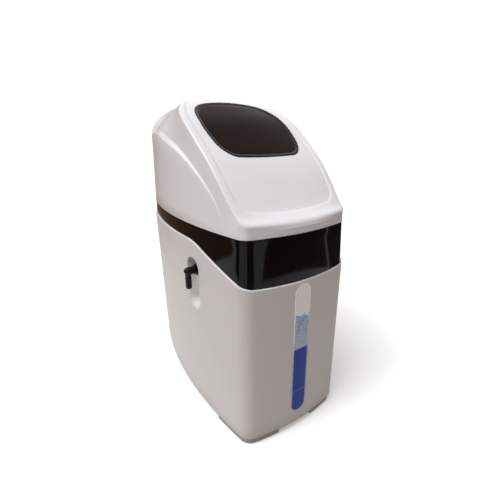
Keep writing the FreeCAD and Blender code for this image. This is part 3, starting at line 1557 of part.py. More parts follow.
def head_cover():
    """Head cover with its display opening, button holes, board posts and inlet hole."""
    half = size("cover_width") / 2
    wall = size("cover_wall")
    front = size("tank_back") - size("cover_front")
    outer = slab(head_profile(0, 0, 0), half)
    slanted = [edge for edge in outer.Edges
               if edge.BoundBox.XLength < PAST and edge.BoundBox.YMin < front + PAST]
    slanted = [edge for edge in slanted if edge.BoundBox.ZLength > size("display_depth")]
    outer = outer.makeFillet(size("cover_round"), slanted)
    cover = outer.cut(slab(head_profile(wall, 5 * PAST, 5 * PAST), half - wall))
    width = size("display_width")
    depth = size("display_depth")
    cover = cover.cut(on_console(Part.makeBox(
        width, depth, 4 * wall, Vector(-width / 2, size("display_up") - depth / 2, -2 * wall))))
    row = -size("button_down")
    for x, _ in button_places():
        cover = cover.cut(on_console(bar(size("button_radius") + loose, (x, row, -2 * wall), (x, row, wall))))
    for x in (-size("post_spread"), size("post_spread")):
        for y in (-size("post_low"), size("post_high")):
            cover = cover.fuse(on_console(bar(size("post_radius"), (x, y, -size("board_depth")),
                                              (x, y, -wall / 2))))
    jack_y, jack_z = jack_place()
    cover = cover.cut(bar(size("jack_radius") + running, (half - 2 * wall, jack_y, jack_z),
                          (half + PAST, jack_y, jack_z)))
    return shaped("valve_cover", cover.removeSplitter())


def display():
    """Circuit board with the display on it, and the display's clear lens."""
    wall = size("cover_wall")
    depth = size("board_depth")
    thickness = size("board_thickness")
    width = size("display_width")
    length = size("display_depth")
    low = size("display_up") - length / 2
    margin = size("display_margin")
    board_shape = Part.makeBox(
        size("board_width"), size("board_low") + size("board_high"), thickness,
        Vector(-size("board_width") / 2, -size("board_low"), -depth - thickness))
    module = Part.makeBox(
        width - 2 * margin, length - 2 * margin, depth - wall - size("display_gap"),
        Vector(margin - width / 2, low + margin, -depth))
    lens = Part.makeBox(
        width - 2 * snug, length - 2 * snug, size("display_lens"),
        Vector(snug - width / 2, low + snug, -wall - running))
    return [shaped("display_board", on_console(board_shape.fuse(module).removeSplitter())),
            shaped("display_lens", on_console(lens))]


def buttons():
    """Four round buttons that travel square to the console."""
    brim = "board_depth - cover_wall - loose - button_travel"
    top = "board_depth - button_travel - loose + button_proud"
    pieces = []
    for x, name in button_places():
        body = turned(name, [
            (0, 0), ("button_stem", 0), ("button_stem", brim + " - loose - button_brim_thickness"),
            ("button_radius + button_brim", brim + " - loose - button_brim_thickness"),
            ("button_radius + button_brim", brim + " - loose"), ("button_radius", brim + " - loose"),
            ("button_radius", top + " - button_bevel"), ("button_radius - button_bevel", top), (0, top)])
        for letter in "xyz":
            body.setExpression("Placement.Base." + letter, None)
        foot = Vector(x, -size("button_down"), size("button_travel") + loose - size("board_depth"))
        body.Placement = console_frame().multiply(Placement(foot, Rotation()))
        pieces.append(body)
    return pieces


def power_jack():
    """Low-voltage inlet in the cover's right wall."""
    jack_y, jack_z = jack_place()
    rim = "cover_wall + jack_depth"
    return turned("power_jack", [
        ("jack_pin", 0), ("jack_radius", 0), ("jack_radius", rim), ("jack_radius + jack_rim", rim),
        ("jack_radius + jack_rim", rim + " + jack_rim"), ("jack_bore", rim + " + jack_rim"),
        ("jack_bore", "jack_pin"), ("jack_pin", "jack_pin")],
        "cover_width / 2 - cover_wall - jack_depth", jack_y, jack_z, "X")


def meter():
    """Flow turbine on its spindle in the outlet port."""
    x = -size("port_spread")
    start = size("tank_back") + size("turbine_back")
    end = start + size("turbine_length")
    radius = size("turbine_radius")
    pin = size("spindle_radius")
    bore = size("port_bore") - running
    web_back = start - loose
    web = box((x - size("spindle_web") / 2, web_back - size("spindle_web"), port_level - bore),
              (x + size("spindle_web") / 2, web_back, port_level + bore))

    def along(at_radius, low, high):
        """Bar along the outlet port."""
        return bar(at_radius, (x, low, port_level), (x, high, port_level))

    spindle = web.common(along(bore, web_back - size("spindle_web"), web_back))
    spindle = spindle.fuse([
        along(pin, web_back - size("spindle_web"), end + size("spindle_reach")),
        along(pin + size("spindle_stop"), end + loose, end + size("spindle_reach") / 2)])
    wheel = along(size("turbine_hub"), start, end)
    inset = size("blade_inset")
    thickness = size("blade_thickness")
    count = int(size("turbine_blades"))
    for turn in range(count):
        blade = Part.makeBox(radius, size("turbine_length") - 2 * inset, thickness,
                             Vector(0, inset, -thickness / 2))
        blade.rotate(Vector(0, 0, 0), Vector(0, 1, 0), 360 * turn / count)
        blade.translate(Vector(x, start, port_level))
        wheel = wheel.fuse(blade)
    wheel = wheel.common(along(radius, start, end)).cut(along(pin + running, start - PAST, end + PAST))
    return [shaped("meter_spindle", spindle.removeSplitter()),
            shaped("flow_turbine", wheel.removeSplitter())]


def bypass():
    """Bypass valve behind the control valve, with its knobs, union nuts and pipe stubs."""
    front = "tank_back + port_reach"
    middle = "(%s + bypass_length / 2)" % front
    low = PORT_LEVEL + " - rotor_housing_height / 2"
    leg_start = "nut_length / 2 + loose"
    well_radius = "rotor_radius + rotor_housing_wall"
    solids = [rod("bypass_bridge", "bypass_bridge_radius", "2 * port_spread", "-port_spread", middle,
                  PORT_LEVEL, "X")]
    holes = [rod("bridge_hole", "bypass_bridge_radius - rotor_housing_wall", "2 * port_spread",
                 "-port_spread", middle, PORT_LEVEL, "X")]
    for name, way in (("inlet", "port_spread"), ("outlet", "-port_spread")):
        solids += [
            rod(name + "_collar", "port_radius - snug", "stub_collar", way, front, PORT_LEVEL, "Y"),
            rod(name + "_neck", "stub_radius", leg_start + " + 1", way, front, PORT_LEVEL, "Y"),
            rod(name + "_leg", "port_radius", "bypass_length - (%s)" % leg_start, way,
                "%s + %s" % (front, leg_start), PORT_LEVEL, "Y"),
            rod(name + "_well", well_radius, "rotor_housing_height", way, middle, low)]
        holes += [
            rod(name + "_way", "port_bore", "bypass_length", way, front, PORT_LEVEL, "Y"),
            rod(name + "_seat", "rotor_radius", "rotor_housing_height", way, middle,
                low + " + rotor_housing_wall")]
    pieces = [bored("bypass_body", joined("bypass_solid", solids), holes)]
    spread = size("port_spread")
    pieces += [bypass_knob("inlet_knob", spread), bypass_knob("outlet_knob", -spread)]
    joint = size("tank_back") + size("port_reach")
    nuts = [union_nut(x, y) for y in (joint, joint + size("bypass_length")) for x in (-spread, spread)]
    pieces.append(shaped("union_nuts", Part.Compound(nuts)))
    stubs = [pipe_stub(x, joint + size("bypass_length") + pressed) for x in (-spread, spread)]
    pieces.append(shaped("pipe_stubs", Part.Compound(stubs)))
    return pieces


def pipe_stub(x, start):
    """Tailpiece: a collar for the nut, a neck under the nut's lip and the spigot behind it."""

    def reach(radius, length):
        """Bar from the joint backwards."""
        return bar(radius, (x, start, port_level), (x, start + length, port_level))

    neck = size("nut_length") / 2 + loose
    spigot = reach(size("stub_radius"), size("stub_length")).cut(reach(size("stub_radius") + PAST, neck))
    stub = spigot.fuse([reach(size("stub_radius") - snug, neck + PAST),
                        reach(size("port_radius") - snug, size("stub_collar"))])
    return stub.cut(reach(size("stub_bore"), size("stub_length"))).removeSplitter()


def bypass_knob(label, x):
    """Rotor with its cross bore, and the bar grip on top that turns it."""
    y = size("tank_back") + size("port_reach") + size("bypass_length") / 2
    low = port_level - size("rotor_housing_height") / 2 + size("rotor_housing_wall")
    top = port_level + size("rotor_housing_height") / 2
    cap = size("rotor_cap")
    radius = size("rotor_radius")
    bore_reach = radius + cap
    grip_top = top + cap + size("knob_height")
    width = size("knob_width")
    length = size("knob_length")
    shape = bar(radius - running, (x, y, low + loose), (x, y, top + cap))
    shape = shape.fuse(bar(radius + cap, (x, y, top + loose), (x, y, top + cap)))
    shape = shape.cut(bar(size("rotor_bore"), (x, y - bore_reach, port_level),
                          (x, y + bore_reach, port_level)))
    grip = box((x - width / 2, y - length / 2, top + cap - snug), (x + width / 2, y + length / 2, grip_top))
    upright = [edge for edge in grip.Edges if edge.BoundBox.ZLength > PAST]
    return shaped(label, shape.fuse(grip.makeFillet(size("knob_round"), upright)).removeSplitter())


def union_nut(x, joint):
    """Gripped nut over a joint at a place along Y: it holds the collar behind its lip."""
    length = size("nut_length")
    ring = grip_ring(size("nut_radius"), length, (x, joint - length / 2, port_level))
    lip = joint + size("stub_collar") + loose
    ring = ring.cut(bar(size("port_radius") + snug, (x, joint - length, port_level), (x, lip, port_level)))
    return ring.cut(bar(size("stub_radius") + snug, (x, joint, port_level), (x, joint + length, port_level)))


def grip_ring(radius, length, start):
    """Ring along Y with shallow grips round its rim."""
    x, y, z = start
    ring = bar(radius, (x, y, z), (x, y + length, z))
    count = int(size("nut_grips"))
    grip = size("nut_grip_radius")
    reach = radius + grip / 2
    for turn in range(count):
        angle = 2 * math.pi * turn / count
        across = x + reach * math.cos(angle)
        up = z + reach * math.sin(angle)
        ring = ring.cut(bar(grip, (across, y - PAST, up), (across, y + length + PAST, up)))
    return ring


def brine_well():
    """Upright tube with slots at its foot and a hole for the brine tube."""
    x, y = -size("well_x"), -size("well_forward")
    radius = size("well_radius")
    inner = radius - size("well_wall")
    start = floor_top + pressed
    top = floor_top + size("well_height")
    shape = bar(radius, (x, y, start), (x, y, top)).cut(bar(inner, (x, y, start - PAST), (x, y, top + PAST)))
    shape = shape.cut(bar(size("brine_tube_radius") + loose, (x, y, brine_level()),
                          (x, y + radius + PAST, brine_level())))
    half = size("well_slot_width") / 2
    count = int(size("well_slots"))
    for turn in range(count):
        slot = box((-half, 0, size("well_slot_low")), (half, radius + PAST, size("well_slot_high")))
        slot.rotate(Vector(0, 0, 0), Vector(0, 0, 1), 360 * (turn + 0.5) / count)
        slot.translate(Vector(x, y, floor_top))
        shape = shape.cut(slot)
    return shaped("brine_well", shape)


def well_cap():
    """Push-in cap of the brine well with a knob."""
    plug = "well_radius - well_wall - loose"
    knob_top = "cap_thickness + cap_knob"
    return turned("well_cap", [
        (0, "-cap_plug"), (plug, "-cap_plug"), (plug, "loose"), ("well_radius + cap_brim", "loose"),
        ("well_radius + cap_brim", "cap_thickness"), ("cap_knob_radius + cap_knob_flare", "cap_thickness"),
        ("cap_knob_radius", knob_top), (0, knob_top)], "-well_x", "-well_forward",
        FLOOR_TOP + " + well_height")


def brine_valve():
    """Safety valve at the foot of the riser, with a guide hole for the float's rod."""
    hole = "brine_riser_radius + running"
    foot = "brine_valve_radius - float_bevel"
    neck = "brine_valve_radius - 2.5 * float_bevel"
    top = "brine_valve_height"
    body = turned("brine_valve", [
        (hole, 0), (foot, 0), (foot, "brine_valve_foot"), (neck, "brine_valve_neck"),
        (neck, top + " - brine_valve_brim"), ("brine_valve_radius", top + " - brine_valve_brim"),
        ("brine_valve_radius", top), (hole, top)], "-well_x", "-well_forward", FLOOR_TOP + " + loose")
    doc.recompute()
    before = body.Tip.Shape.Volume
    start = Vector(size("float_rod_offset"), 0, 0)
    sketch = body.newObject("Sketcher::SketchObject", "guide_circle")
    sketch.AttachmentSupport = [(origin_plane(body, "XY_Plane"), "")]
    sketch.MapMode = "FlatFace"
    sketch.addGeometry(Part.Circle(start, Vector(0, 0, 1), size("float_rod_radius")), False)
    sketch.addConstraint(Sketcher.Constraint("DistanceX", -1, 1, 0, 3, start.x))
    sketch.addConstraint(Sketcher.Constraint("DistanceY", -1, 1, 0, 3, start.y))
    sketch.addConstraint(Sketcher.Constraint("Radius", 0, size("float_rod_radius")))
    sketch.setExpression("Constraints[0]", spelled("float_rod_offset"))
    sketch.setExpression("Constraints[2]", spelled("float_rod_radius + running"))
    guide = body.newObject("PartDesign::Pocket", "guide_hole")
    guide.Profile = sketch
    guide.Reversed = True
    bind(guide, Length="brine_valve_height + 1")
    doc.recompute()
    if body.Tip.Shape.Volume > before - PAST:
        raise RuntimeError("the float's guide cuts nothing")
    return body


def brine_riser():
    """Riser with the float's two stops and the elbow that takes the brine tube."""
    x, y = -size("well_x"), -size("well_forward")
    radius = size("brine_riser_radius")
    bore = size("brine_riser_bore")
    foot = floor_top + size("brine_riser_foot")
    level = brine_level()
    float_low = floor_top + size("float_level")
    float_high = float_low + size("float_height") + size("float_travel")
    thick = size("riser_collar_height")
    mouth = y + size("riser_elbow_reach")
    seat = mouth - size("brine_tube_seat")
    shape = bar(radius, (x, y, foot), (x, y, level))
    for low in (float_low - loose - thick, float_high + loose):
        shape = shape.fuse(bar(radius + size("riser_collar"), (x, y, low), (x, y, low + thick)))
    shape = shape.fuse([Part.makeSphere(radius, Vector(x, y, level)),
                        bar(radius, (x, y, level), (x, mouth, level))])
    shape = shape.cut(bar(bore, (x, y, foot - PAST), (x, y, level)))
    shape = shape.cut(bar(size("brine_tube_bore"), (x, y, level), (x, mouth, level)))
    shape = shape.cut(bar(size("brine_tube_radius") + running, (x, seat, level), (x, mouth + PAST, level)))
    return shaped("brine_riser", shape.removeSplitter())


def brine_float():
    """Float drum that slides on the riser, with its rod down to the valve."""
    hole = "brine_riser_radius + loose"
    narrow = "float_radius - float_bevel"
    drum = turned("float_drum", [
        (hole, 0), (narrow, 0), ("float_radius", "float_bevel"),
        ("float_radius", "float_height - float_bevel"), (narrow, "float_height"), (hole, "float_height")],
        "-well_x", "-well_forward", FLOOR_TOP + " + float_level")
    low = "brine_valve_height - float_rod_bite"
    stem = rod("float_stem", "float_rod_radius", "float_level + float_bevel - (%s)" % low,
               "-well_x + float_rod_offset", "-well_forward", "%s + %s" % (FLOOR_TOP, low))
    return joined("brine_float", [drum, stem])


def salt_grid():
    """Perforated grid on legs in front of the vessel."""
    low = floor_top + size("grid_height")
    top = low + size("grid_thickness")
    gap = size("grid_gap")
    inset = size("body_wall") + gap
    tank_y = size("tank_back")
    boot = size("tank_radius") + loose + size("boot_wall") + gap
    well = size("well_radius") + gap
    well_x, well_y = -size("well_x"), -size("well_forward")
    plate = plan_prism(inset, low, top).common(box((-half_width, -half_depth, low), (half_width, 0, top)))
    plate = plate.cut(bar(boot, (0, tank_y, low - PAST), (0, tank_y, top + PAST)))
    plate = plate.cut(bar(well, (well_x, well_y, low - PAST), (well_x, well_y, top + PAST)))
    leg = size("grid_leg_radius")
    front = -half_depth + size("end_bow") + size("body_wall") + size("grid_leg_front") + leg
    legs = [(-size("grid_leg_corner"), front), (size("grid_leg_corner"), front),
            (0.0, front + size("grid_leg_middle"))]
    for name in ("grid_leg_near", "grid_leg_far"):
        y = -size(name)
        legs.append((side_half(y + half_depth) - size("grid_leg_side"), y))
    for x, y in legs:
        plate = plate.fuse(bar(leg, (x, y, floor_top + pressed), (x, y, low + PAST)))
    pitch = size("grid_pitch")
    hole = size("grid_hole")
    bridge = hole + size("grid_bridge")
    side_count = int(half_width / pitch)
    cutters = []
    for across in range(-side_count, side_count + 1):
        for back in range(int(half_depth / pitch) + 1):
            x = across * pitch
            y = front + leg + back * pitch
            taken = (math.hypot(x, y - tank_y) < boot + bridge
                     or math.hypot(x - well_x, y - well_y) < well + bridge
                     or any(math.hypot(x - leg_x, y - leg_y) < leg + bridge for leg_x, leg_y in legs)
                     or y > -bridge)
            if not taken and abs(x) < side_half(y + half_depth) - inset - bridge:
                cutters.append(bar(hole, (x, y, low - PAST), (x, y, top + PAST)))
    return shaped("salt_grid", plate.cut(Part.Compound(cutters)))


def collect():
    """Build every sub-part in turn."""
    parts = [cabinet_base(), cabinet_shell(), band(), hood()]
    parts += window()
    parts.append(label())
    parts += hinges()
    parts += screws()
    parts += overflow()
    parts += vessel()
    parts.append(valve())
    parts += piston_parts()
    parts += injector_parts()
    parts += brine_line()
    parts += gears()
    parts += drive_frame()
    parts.append(head_cover())
    parts += display()
    parts += buttons()
    parts.append(power_jack())
    parts += meter()
    parts += bypass()
    parts += [brine_well(), well_cap(), brine_valve(), brine_riser(), brine_float()]
    parts.append(salt_grid())
    return parts


def check_document(parts):
    """Stop if anything in the document failed."""
    failed = [thing.Label for thing in doc.Objects if {"Invalid", "Error"} & set(thing.State)]
    for part in parts:
        shape = part.Shape
        if shape.isNull() or not shape.isValid() or shape.Volume <= 0:
            failed.append(part.Label + " shape")
    if failed:
        raise RuntimeError("failed: " + ", ".join(failed))


def export(parts):
    """Write each sub-part to its own file."""
    for part in parts:
        part.Shape.exportStep("parts/%s.step" % part.Label)
        bounds = part.Shape.BoundBox
        print("%-20s solids %d volume %9.0f  x %7.1f %7.1f  y %7.1f %7.1f  z %6.1f %6.1f" % (
            part.Label, len(part.Shape.Solids), part.Shape.Volume, bounds.XMin, bounds.XMax,
            bounds.YMin, bounds.YMax, bounds.ZMin, bounds.ZMax))


sub_parts = collect()
doc.recompute()
check_document(sub_parts)
export(sub_parts)
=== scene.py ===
"""Cabinet water softener with its moulded skins, window, label and finishes.

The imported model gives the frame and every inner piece. This script adds the
fine outer skins of hood, cabinet and trim band, dresses all pieces with
procedural finishes, and sets floor, light and camera as in the photograph.
"""
import json
import logging
import math
from collections.abc import Callable, Sequence
from dataclasses import dataclass
from enum import Enum
from functools import cache, cached_property

import bmesh
import bpy
from mathutils import Matrix, Vector

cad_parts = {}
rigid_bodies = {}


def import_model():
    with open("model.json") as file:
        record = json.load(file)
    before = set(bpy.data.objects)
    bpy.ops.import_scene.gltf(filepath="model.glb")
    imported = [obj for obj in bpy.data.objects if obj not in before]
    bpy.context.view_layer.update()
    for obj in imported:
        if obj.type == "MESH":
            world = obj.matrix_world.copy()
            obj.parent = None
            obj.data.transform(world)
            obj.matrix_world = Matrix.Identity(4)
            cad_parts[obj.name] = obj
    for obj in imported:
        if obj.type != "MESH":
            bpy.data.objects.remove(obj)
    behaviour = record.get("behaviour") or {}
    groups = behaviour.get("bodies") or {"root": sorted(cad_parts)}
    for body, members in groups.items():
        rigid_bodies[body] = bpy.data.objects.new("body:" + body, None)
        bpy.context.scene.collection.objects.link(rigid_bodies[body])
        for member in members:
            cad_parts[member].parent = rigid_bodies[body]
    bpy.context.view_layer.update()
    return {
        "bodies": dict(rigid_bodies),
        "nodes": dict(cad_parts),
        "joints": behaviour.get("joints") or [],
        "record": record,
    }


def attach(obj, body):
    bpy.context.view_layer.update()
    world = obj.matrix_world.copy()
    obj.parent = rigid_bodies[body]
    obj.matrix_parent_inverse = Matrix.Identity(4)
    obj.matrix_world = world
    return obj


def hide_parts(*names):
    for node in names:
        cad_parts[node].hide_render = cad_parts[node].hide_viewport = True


LOG = logging.getLogger("softener")
# Level of the seam between cabinet and hood.
SEAM = 0.394
MILLIMETRES = 1000.0
# How far the middle of a small rounding stands off the faces that it joins, as a share of its size.
ROUNDED = 0.3
# Points closer than this are one.
MERGE = 1e-6
# Range in which most of a Noise texture's values lie.
NOISE = (0.3, 0.7)
Colour = tuple[float, float, float]
Span = tuple[float, float]
Socket = bpy.types.NodeSocket
Value = float | Colour | Socket


class Side(Enum):
    """Stretches of the cabinet's outline, counter-clockwise from the right side."""

    RIGHT = 0
    BACK_RIGHT = 1
    BACK = 2
    BACK_LEFT = 3
    LEFT = 4
    FRONT_LEFT = 5
    FRONT = 6
    FRONT_RIGHT = 7

    @property
    def left(self) -> bool:
        """Whether the stretch lies in the left half."""
        return self in (Side.BACK_LEFT, Side.LEFT, Side.FRONT_LEFT)


class Body(Enum):
    """Bodies that carry new pieces."""

    CABINET = "cabinet"
    HOOD = "hood"


class Op(Enum):
    """Operations of a Math node."""

    ADD = "ADD"
    SUBTRACT = "SUBTRACT"
    MULTIPLY = "MULTIPLY"
    MINIMUM = "MINIMUM"
    MAXIMUM = "MAXIMUM"
    ABSOLUTE = "ABSOLUTE"
    SQRT = "SQRT"


class Measure(Enum):
    """Measures in the hood's tables."""

    MIDDLE = "middle"
    CROWN = "crown"
    EDGE = "edge"
    LEVEL = "level"
    WIDTH = "width"


SIDES = (Side.RIGHT, Side.LEFT)
FRONT_CORNERS = (Side.FRONT_RIGHT, Side.FRONT_LEFT)
BACK_CORNERS = (Side.BACK_RIGHT, Side.BACK_LEFT)


def mix(low: float, high: float, share: float) -> float:
    """Value a share of the way from low to high."""
    return low + (high - low) * share


def ease(share: float) -> float:
    """Smooth step of a share, held between 0 and 1."""
    share = min(max(share, 0.0), 1.0)
    return share * share * (3 - 2 * share)


def spread(count: int, low: float = 0.0, high: float = 1.0) -> list[float]:
    """Evenly spaced values from low to high, both ends included."""
    return [mix(low, high, step / (count - 1)) for step in range(count)]


def steps(count: int, low: float = 0.0, high: float = 1.0) -> list[float]:
    """Evenly spaced values that start one step after low and end at high."""
    return spread(count + 1, low, high)[1:]


def conic(start: Vector, corner: Vector, end: Vector, weight: float, share: float) -> Vector:
    """Point on a rounded corner.

    Args:
        start: Where the rounding begins.
        corner: The sharp corner that it rounds.
        end: Where the rounding ends.
        weight: 0 for a straight cut, about 0.7 for a quarter circle.
        share: Place along the rounding, 0 to 1.

    Returns:
        The point on the curve.
    """
    first = (1 - share) ** 2
    middle = 2 * share * (1 - share) * weight
    last = share ** 2
    return (start * first + corner * middle + end * last) / (first + middle + last)


@dataclass(frozen=True)
class Station:
    """One place on the outline, from which insets are measured along its normal.

    Attributes:
        side: The stretch that it lies on.
        share: Place along that stretch, 0 to 1, counter-clockwise.
        centre: Centre of the arc it lies on.
        radius: Radius of that arc.
        angle: Direction of the outward normal.
    """

    side: Side
    share: float
    centre: Vector
    radius: float
    angle: float

    @property
    def turn(self) -> float:
        """Place along a side from its front, or round a corner from its side end."""
        return self.share if self.side in (Side.RIGHT, Side.BACK_RIGHT, Side.FRONT_LEFT) else 1 - self.share

    def half(self, place: Vector) -> Vector:
        """A place of the right half, mirrored if the station lies in the left half."""
        return Vector((-place.x, place.y)) if self.side.left else place

    def at(self, inset: float, level: float = 0.0) -> Vector:
        """Point at an inset from the outline.

        Args:
            inset: Distance inwards along the normal.
            level: Height over the floor.

        Returns:
            The point.
        """
        reach = self.radius - inset
        return Vector((self.centre.x + reach * math.cos(self.angle),
                       self.centre.y + reach * math.sin(self.angle), level))


@dataclass(frozen=True)
class Detail:
    """How fine a skin is round the outline.

    Attributes:
        side: Steps along each side.
        end: Steps along front and back.
        corner: Steps round each corner.
    """

    side: int
    end: int
    corner: int


@dataclass(frozen=True)
class Plan:
    """Bowed outline with round corners that cabinet, band and hood share.

    Attributes:
        half_width: Half the width in the middle.
        half_depth: Half the depth in the middle.
        side_bow: How far each side bows outwards.
        end_bow: How far front and back bow outwards.
        corner: Radius of the corners.
        halvings: Halvings in the search for the corner arc.
    """

    half_width: float = 0.135
    half_depth: float = 0.2227
    side_bow: float = 0.0290
    end_bow: float = 0.0115
    corner: float = 0.0286
    halvings: int = 60

    @cached_property
    def side_radius(self) -> float:
        """Radius of the bowed sides."""
        return (self.half_depth ** 2 + self.side_bow ** 2) / (2 * self.side_bow)

    @cached_property
    def end_radius(self) -> float:
        """Radius of the bowed front and back."""
        half = self.half_width - self.side_bow
        return (half ** 2 + self.end_bow ** 2) / (2 * self.end_bow)

    def side_x(self, y: float) -> float:
        """Half width at a place along the cabinet."""
        y = min(max(y, -self.half_depth), self.half_depth)
        return self.half_width - self.side_radius + math.sqrt(self.side_radius ** 2 - y * y)

    def end_y(self, x: float) -> float:
        """Half depth at a place across the cabinet."""
        return self.half_depth - self.end_radius + math.sqrt(self.end_radius ** 2 - x * x)

    @cached_property
    def quarter(self) -> tuple[Vector, float, float]:
        """The corner arc in the right back quarter.

        Returns:
            Its centre, and the directions of the normals where it starts and ends.
        """
        side_centre = self.half_width - self.side_radius
        end_centre = self.half_depth - self.end_radius
        first = self.side_radius - self.corner
        second = self.end_radius - self.corner
        low, high = 0.0, 0.5
        for _ in range(self.halvings):
            turn = (low + high) / 2
            x = side_centre + first * math.cos(turn)
            y = first * math.sin(turn)
            if math.hypot(x, y - end_centre) < second:
                low = turn
            else:
                high = turn
        return Vector((x, y)), turn, math.atan2(y - end_centre, x)

    def stations(self, detail: Detail, left: Sequence[float] | None = None) -> list[Station]:
        """Stations round the whole outline.

        Args:
            detail: Steps along sides and ends and round the corners.
            left: Other shares for the left side, if it needs them.

        Returns:
            The stations, counter-clockwise from the front of the right side.
        """
        corner, from_side, to_end = self.quarter
        side_centre = self.half_width - self.side_radius
        end_centre = self.half_depth - self.end_radius
        half_turn, turn = math.pi, 2 * math.pi
        arcs = [
            (Side.RIGHT, (side_centre, 0), self.side_radius, -from_side, from_side),
            (Side.BACK_RIGHT, (corner.x, corner.y), self.corner, from_side, to_end),
            (Side.BACK, (0, end_centre), self.end_radius, to_end, half_turn - to_end),
            (Side.BACK_LEFT, (-corner.x, corner.y), self.corner, half_turn - to_end,
             half_turn - from_side),
            (Side.LEFT, (-side_centre, 0), self.side_radius, half_turn - from_side, half_turn + from_side),
            (Side.FRONT_LEFT, (-corner.x, -corner.y), self.corner, half_turn + from_side,
             half_turn + to_end),
            (Side.FRONT, (0, -end_centre), self.end_radius, half_turn + to_end, turn - to_end),
            (Side.FRONT_RIGHT, (corner.x, -corner.y), self.corner, turn - to_end, turn - from_side),
        ]
        along, across, around = (spread(count + 1)[:-1]
                                 for count in (detail.side, detail.end, detail.corner))
        shares = {Side.RIGHT: along, Side.LEFT: left or along, Side.FRONT: across, Side.BACK: across}
        return [Station(side, share, Vector(centre), radius, mix(start, end, share))
                for side, centre, radius, start, end in arcs for share in shares.get(side, around)]


@dataclass(frozen=True)
class Taper:
    """How far band and hood stand back from the cabinet's outline: most in front, flush at the back.

    Attributes:
        low_front: Inset of the band's lower edge in front.
        low_side: Inset of its lower edge along the sides.
        high_front: Inset of its upper edge in the middle of the front.
        high_near: Inset of its upper edge near the front corners.
        high_side: Inset of its upper edge along the sides.
        back: Inset at the back.
        reveal: How far the hood stands out over the band.
        rear_start: Where the insets start to change along the sides.
        rear_length: Over what length they change.
        back_start: Share of the back corner at which the back begins.
        back_length: Share of the back corner over which it sets in.
        front_speed: How fast the middle of the front sets in.
    """

    low_front: float = 0.0026
    low_side: float = 0.0032
    high_front: float = 0.0034
    high_near: float = 0.0060
    high_side: float = 0.0042
    back: float = 0.0012
    reveal: float = 0.0007
    rear_start: float = -0.21
    rear_length: float = 0.38
    back_start: float = 0.2
    back_length: float = 0.7
    front_speed: float = 2.2

    def backness(self, station: Station) -> float:
        """How much a station belongs to the back.

        Args:
            station: The station on the outline.

        Returns:
            0 along the sides and front, 1 at the back.
        """
        if station.side in BACK_CORNERS:
            return ease((station.turn - self.back_start) / self.back_length)
        return float(station.side is Side.BACK)

    def frontness(self, station: Station) -> float:
        """How much a station belongs to the middle of the front, 0 to 1."""
        near = min(station.share, 1 - station.share)
        return ease(self.front_speed * near) if station.side is Side.FRONT else 0.0

    def band(self, station: Station, share: float) -> float:
        """Inset of the band's face.

        Args:
            station: The station on the outline.
            share: Place up the band's face, 0 to 1.

        Returns:
            The inset from the cabinet's outline.
        """
        along = ease((station.at(0.0).y - self.rear_start) / self.rear_length)
        low = mix(self.low_front, self.low_side, along)
        near = mix(self.high_near, self.high_front, self.frontness(station))
        high = mix(near, self.high_side, along)
        return mix(mix(low, high, share), self.back, self.backness(station))

    def hood(self, station: Station) -> float:
        """Inset of the hood's foot."""
        return self.band(station, 1.0) - mix(self.reveal, self.back, self.backness(station))


class RingSkin:
    """A skin that grows ring by ring: each ring is extruded from the last and moved to its place."""

    def __init__(self, first: Sequence[Vector]) -> None:
        """Starts the skin with a circle that is moved onto the first ring.

        Args:
            first: The first ring's points.
        """
        self.mesh = bmesh.new()
        made = bmesh.ops.create_circle(self.mesh, cap_ends=False, segments=len(first), radius=1.0)
        self.ring: list[bmesh.types.BMVert] = list(made["verts"])
        self.first = list(first)
        self._place(first)

    def _place(self, points: Sequence[Vector]) -> None:
        """Moves the newest ring to its points."""
        for vert, point in zip(self.ring, points):
            vert.co = point

    def grow(self, points: Sequence[Vector]) -> None:
        """Extrudes one more ring and moves it to its points.

        Args:
            points: The new ring's points, as many as the first ring has.
        """
        edges = [self.mesh.edges.get((one, other))
                 for one, other in zip(self.ring, self.ring[1:] + self.ring[:1])]
        made = bmesh.ops.extrude_edge_only(self.mesh, edges=edges)
        fresh = {item for item in made["geom"] if isinstance(item, bmesh.types.BMVert)}
        self.ring = [next(edge.other_vert(vert) for edge in vert.link_edges
                          if edge.other_vert(vert) in fresh) for vert in self.ring]
        self._place(points)

    def pole(self, point: Vector) -> None:
        """Closes the skin in one point."""
        self.grow([point] * len(self.ring))

    def loop(self) -> None:
        """Closes the skin onto its first ring."""
        self.grow(self.first)

    def capped(self) -> bmesh.types.BMesh:
        """Finishes the skin and fills the ring that was left open.

        Returns:
            The closed mesh.
        """
        mesh = self.finished()
        bmesh.ops.holes_fill(mesh, edges=[edge for edge in mesh.edges if edge.is_boundary], sides=0)
        bmesh.ops.recalc_face_normals(mesh, faces=mesh.faces)
        return mesh

    def finished(self) -> bmesh.types.BMesh:
        """Merges the seams and turns the faces outwards.

        Returns:
            The finished mesh.
        """
        bmesh.ops.remove_doubles(self.mesh, verts=self.mesh.verts, dist=MERGE)
        bmesh.ops.recalc_face_normals(self.mesh, faces=self.mesh.faces)
        return self.mesh


def skin_of(rings: Sequence[Sequence[Vector]]) -> bmesh.types.BMesh:
    """Skin through a row of rings, with the last joined to the first.

    Args:
        rings: The rings' points, all of one count.

    Returns:
        The finished mesh.
    """
    skin = RingSkin(rings[0])
    for ring in rings[1:]:
        skin.grow(ring)
    skin.loop()
    return skin.finished()


def placed(name: str, mesh: bmesh.types.BMesh) -> bpy.types.Object:
    """Turns a bmesh into an object of the scene.

    Args:
        name: Name of the object.
        mesh: Its shape, which is freed.

    Returns:
        The object.
    """
    data = bpy.data.meshes.new(name)
    mesh.to_mesh(data)
    mesh.free()
    thing = bpy.data.objects.new(name, data)
    bpy.context.scene.collection.objects.link(thing)
    return thing


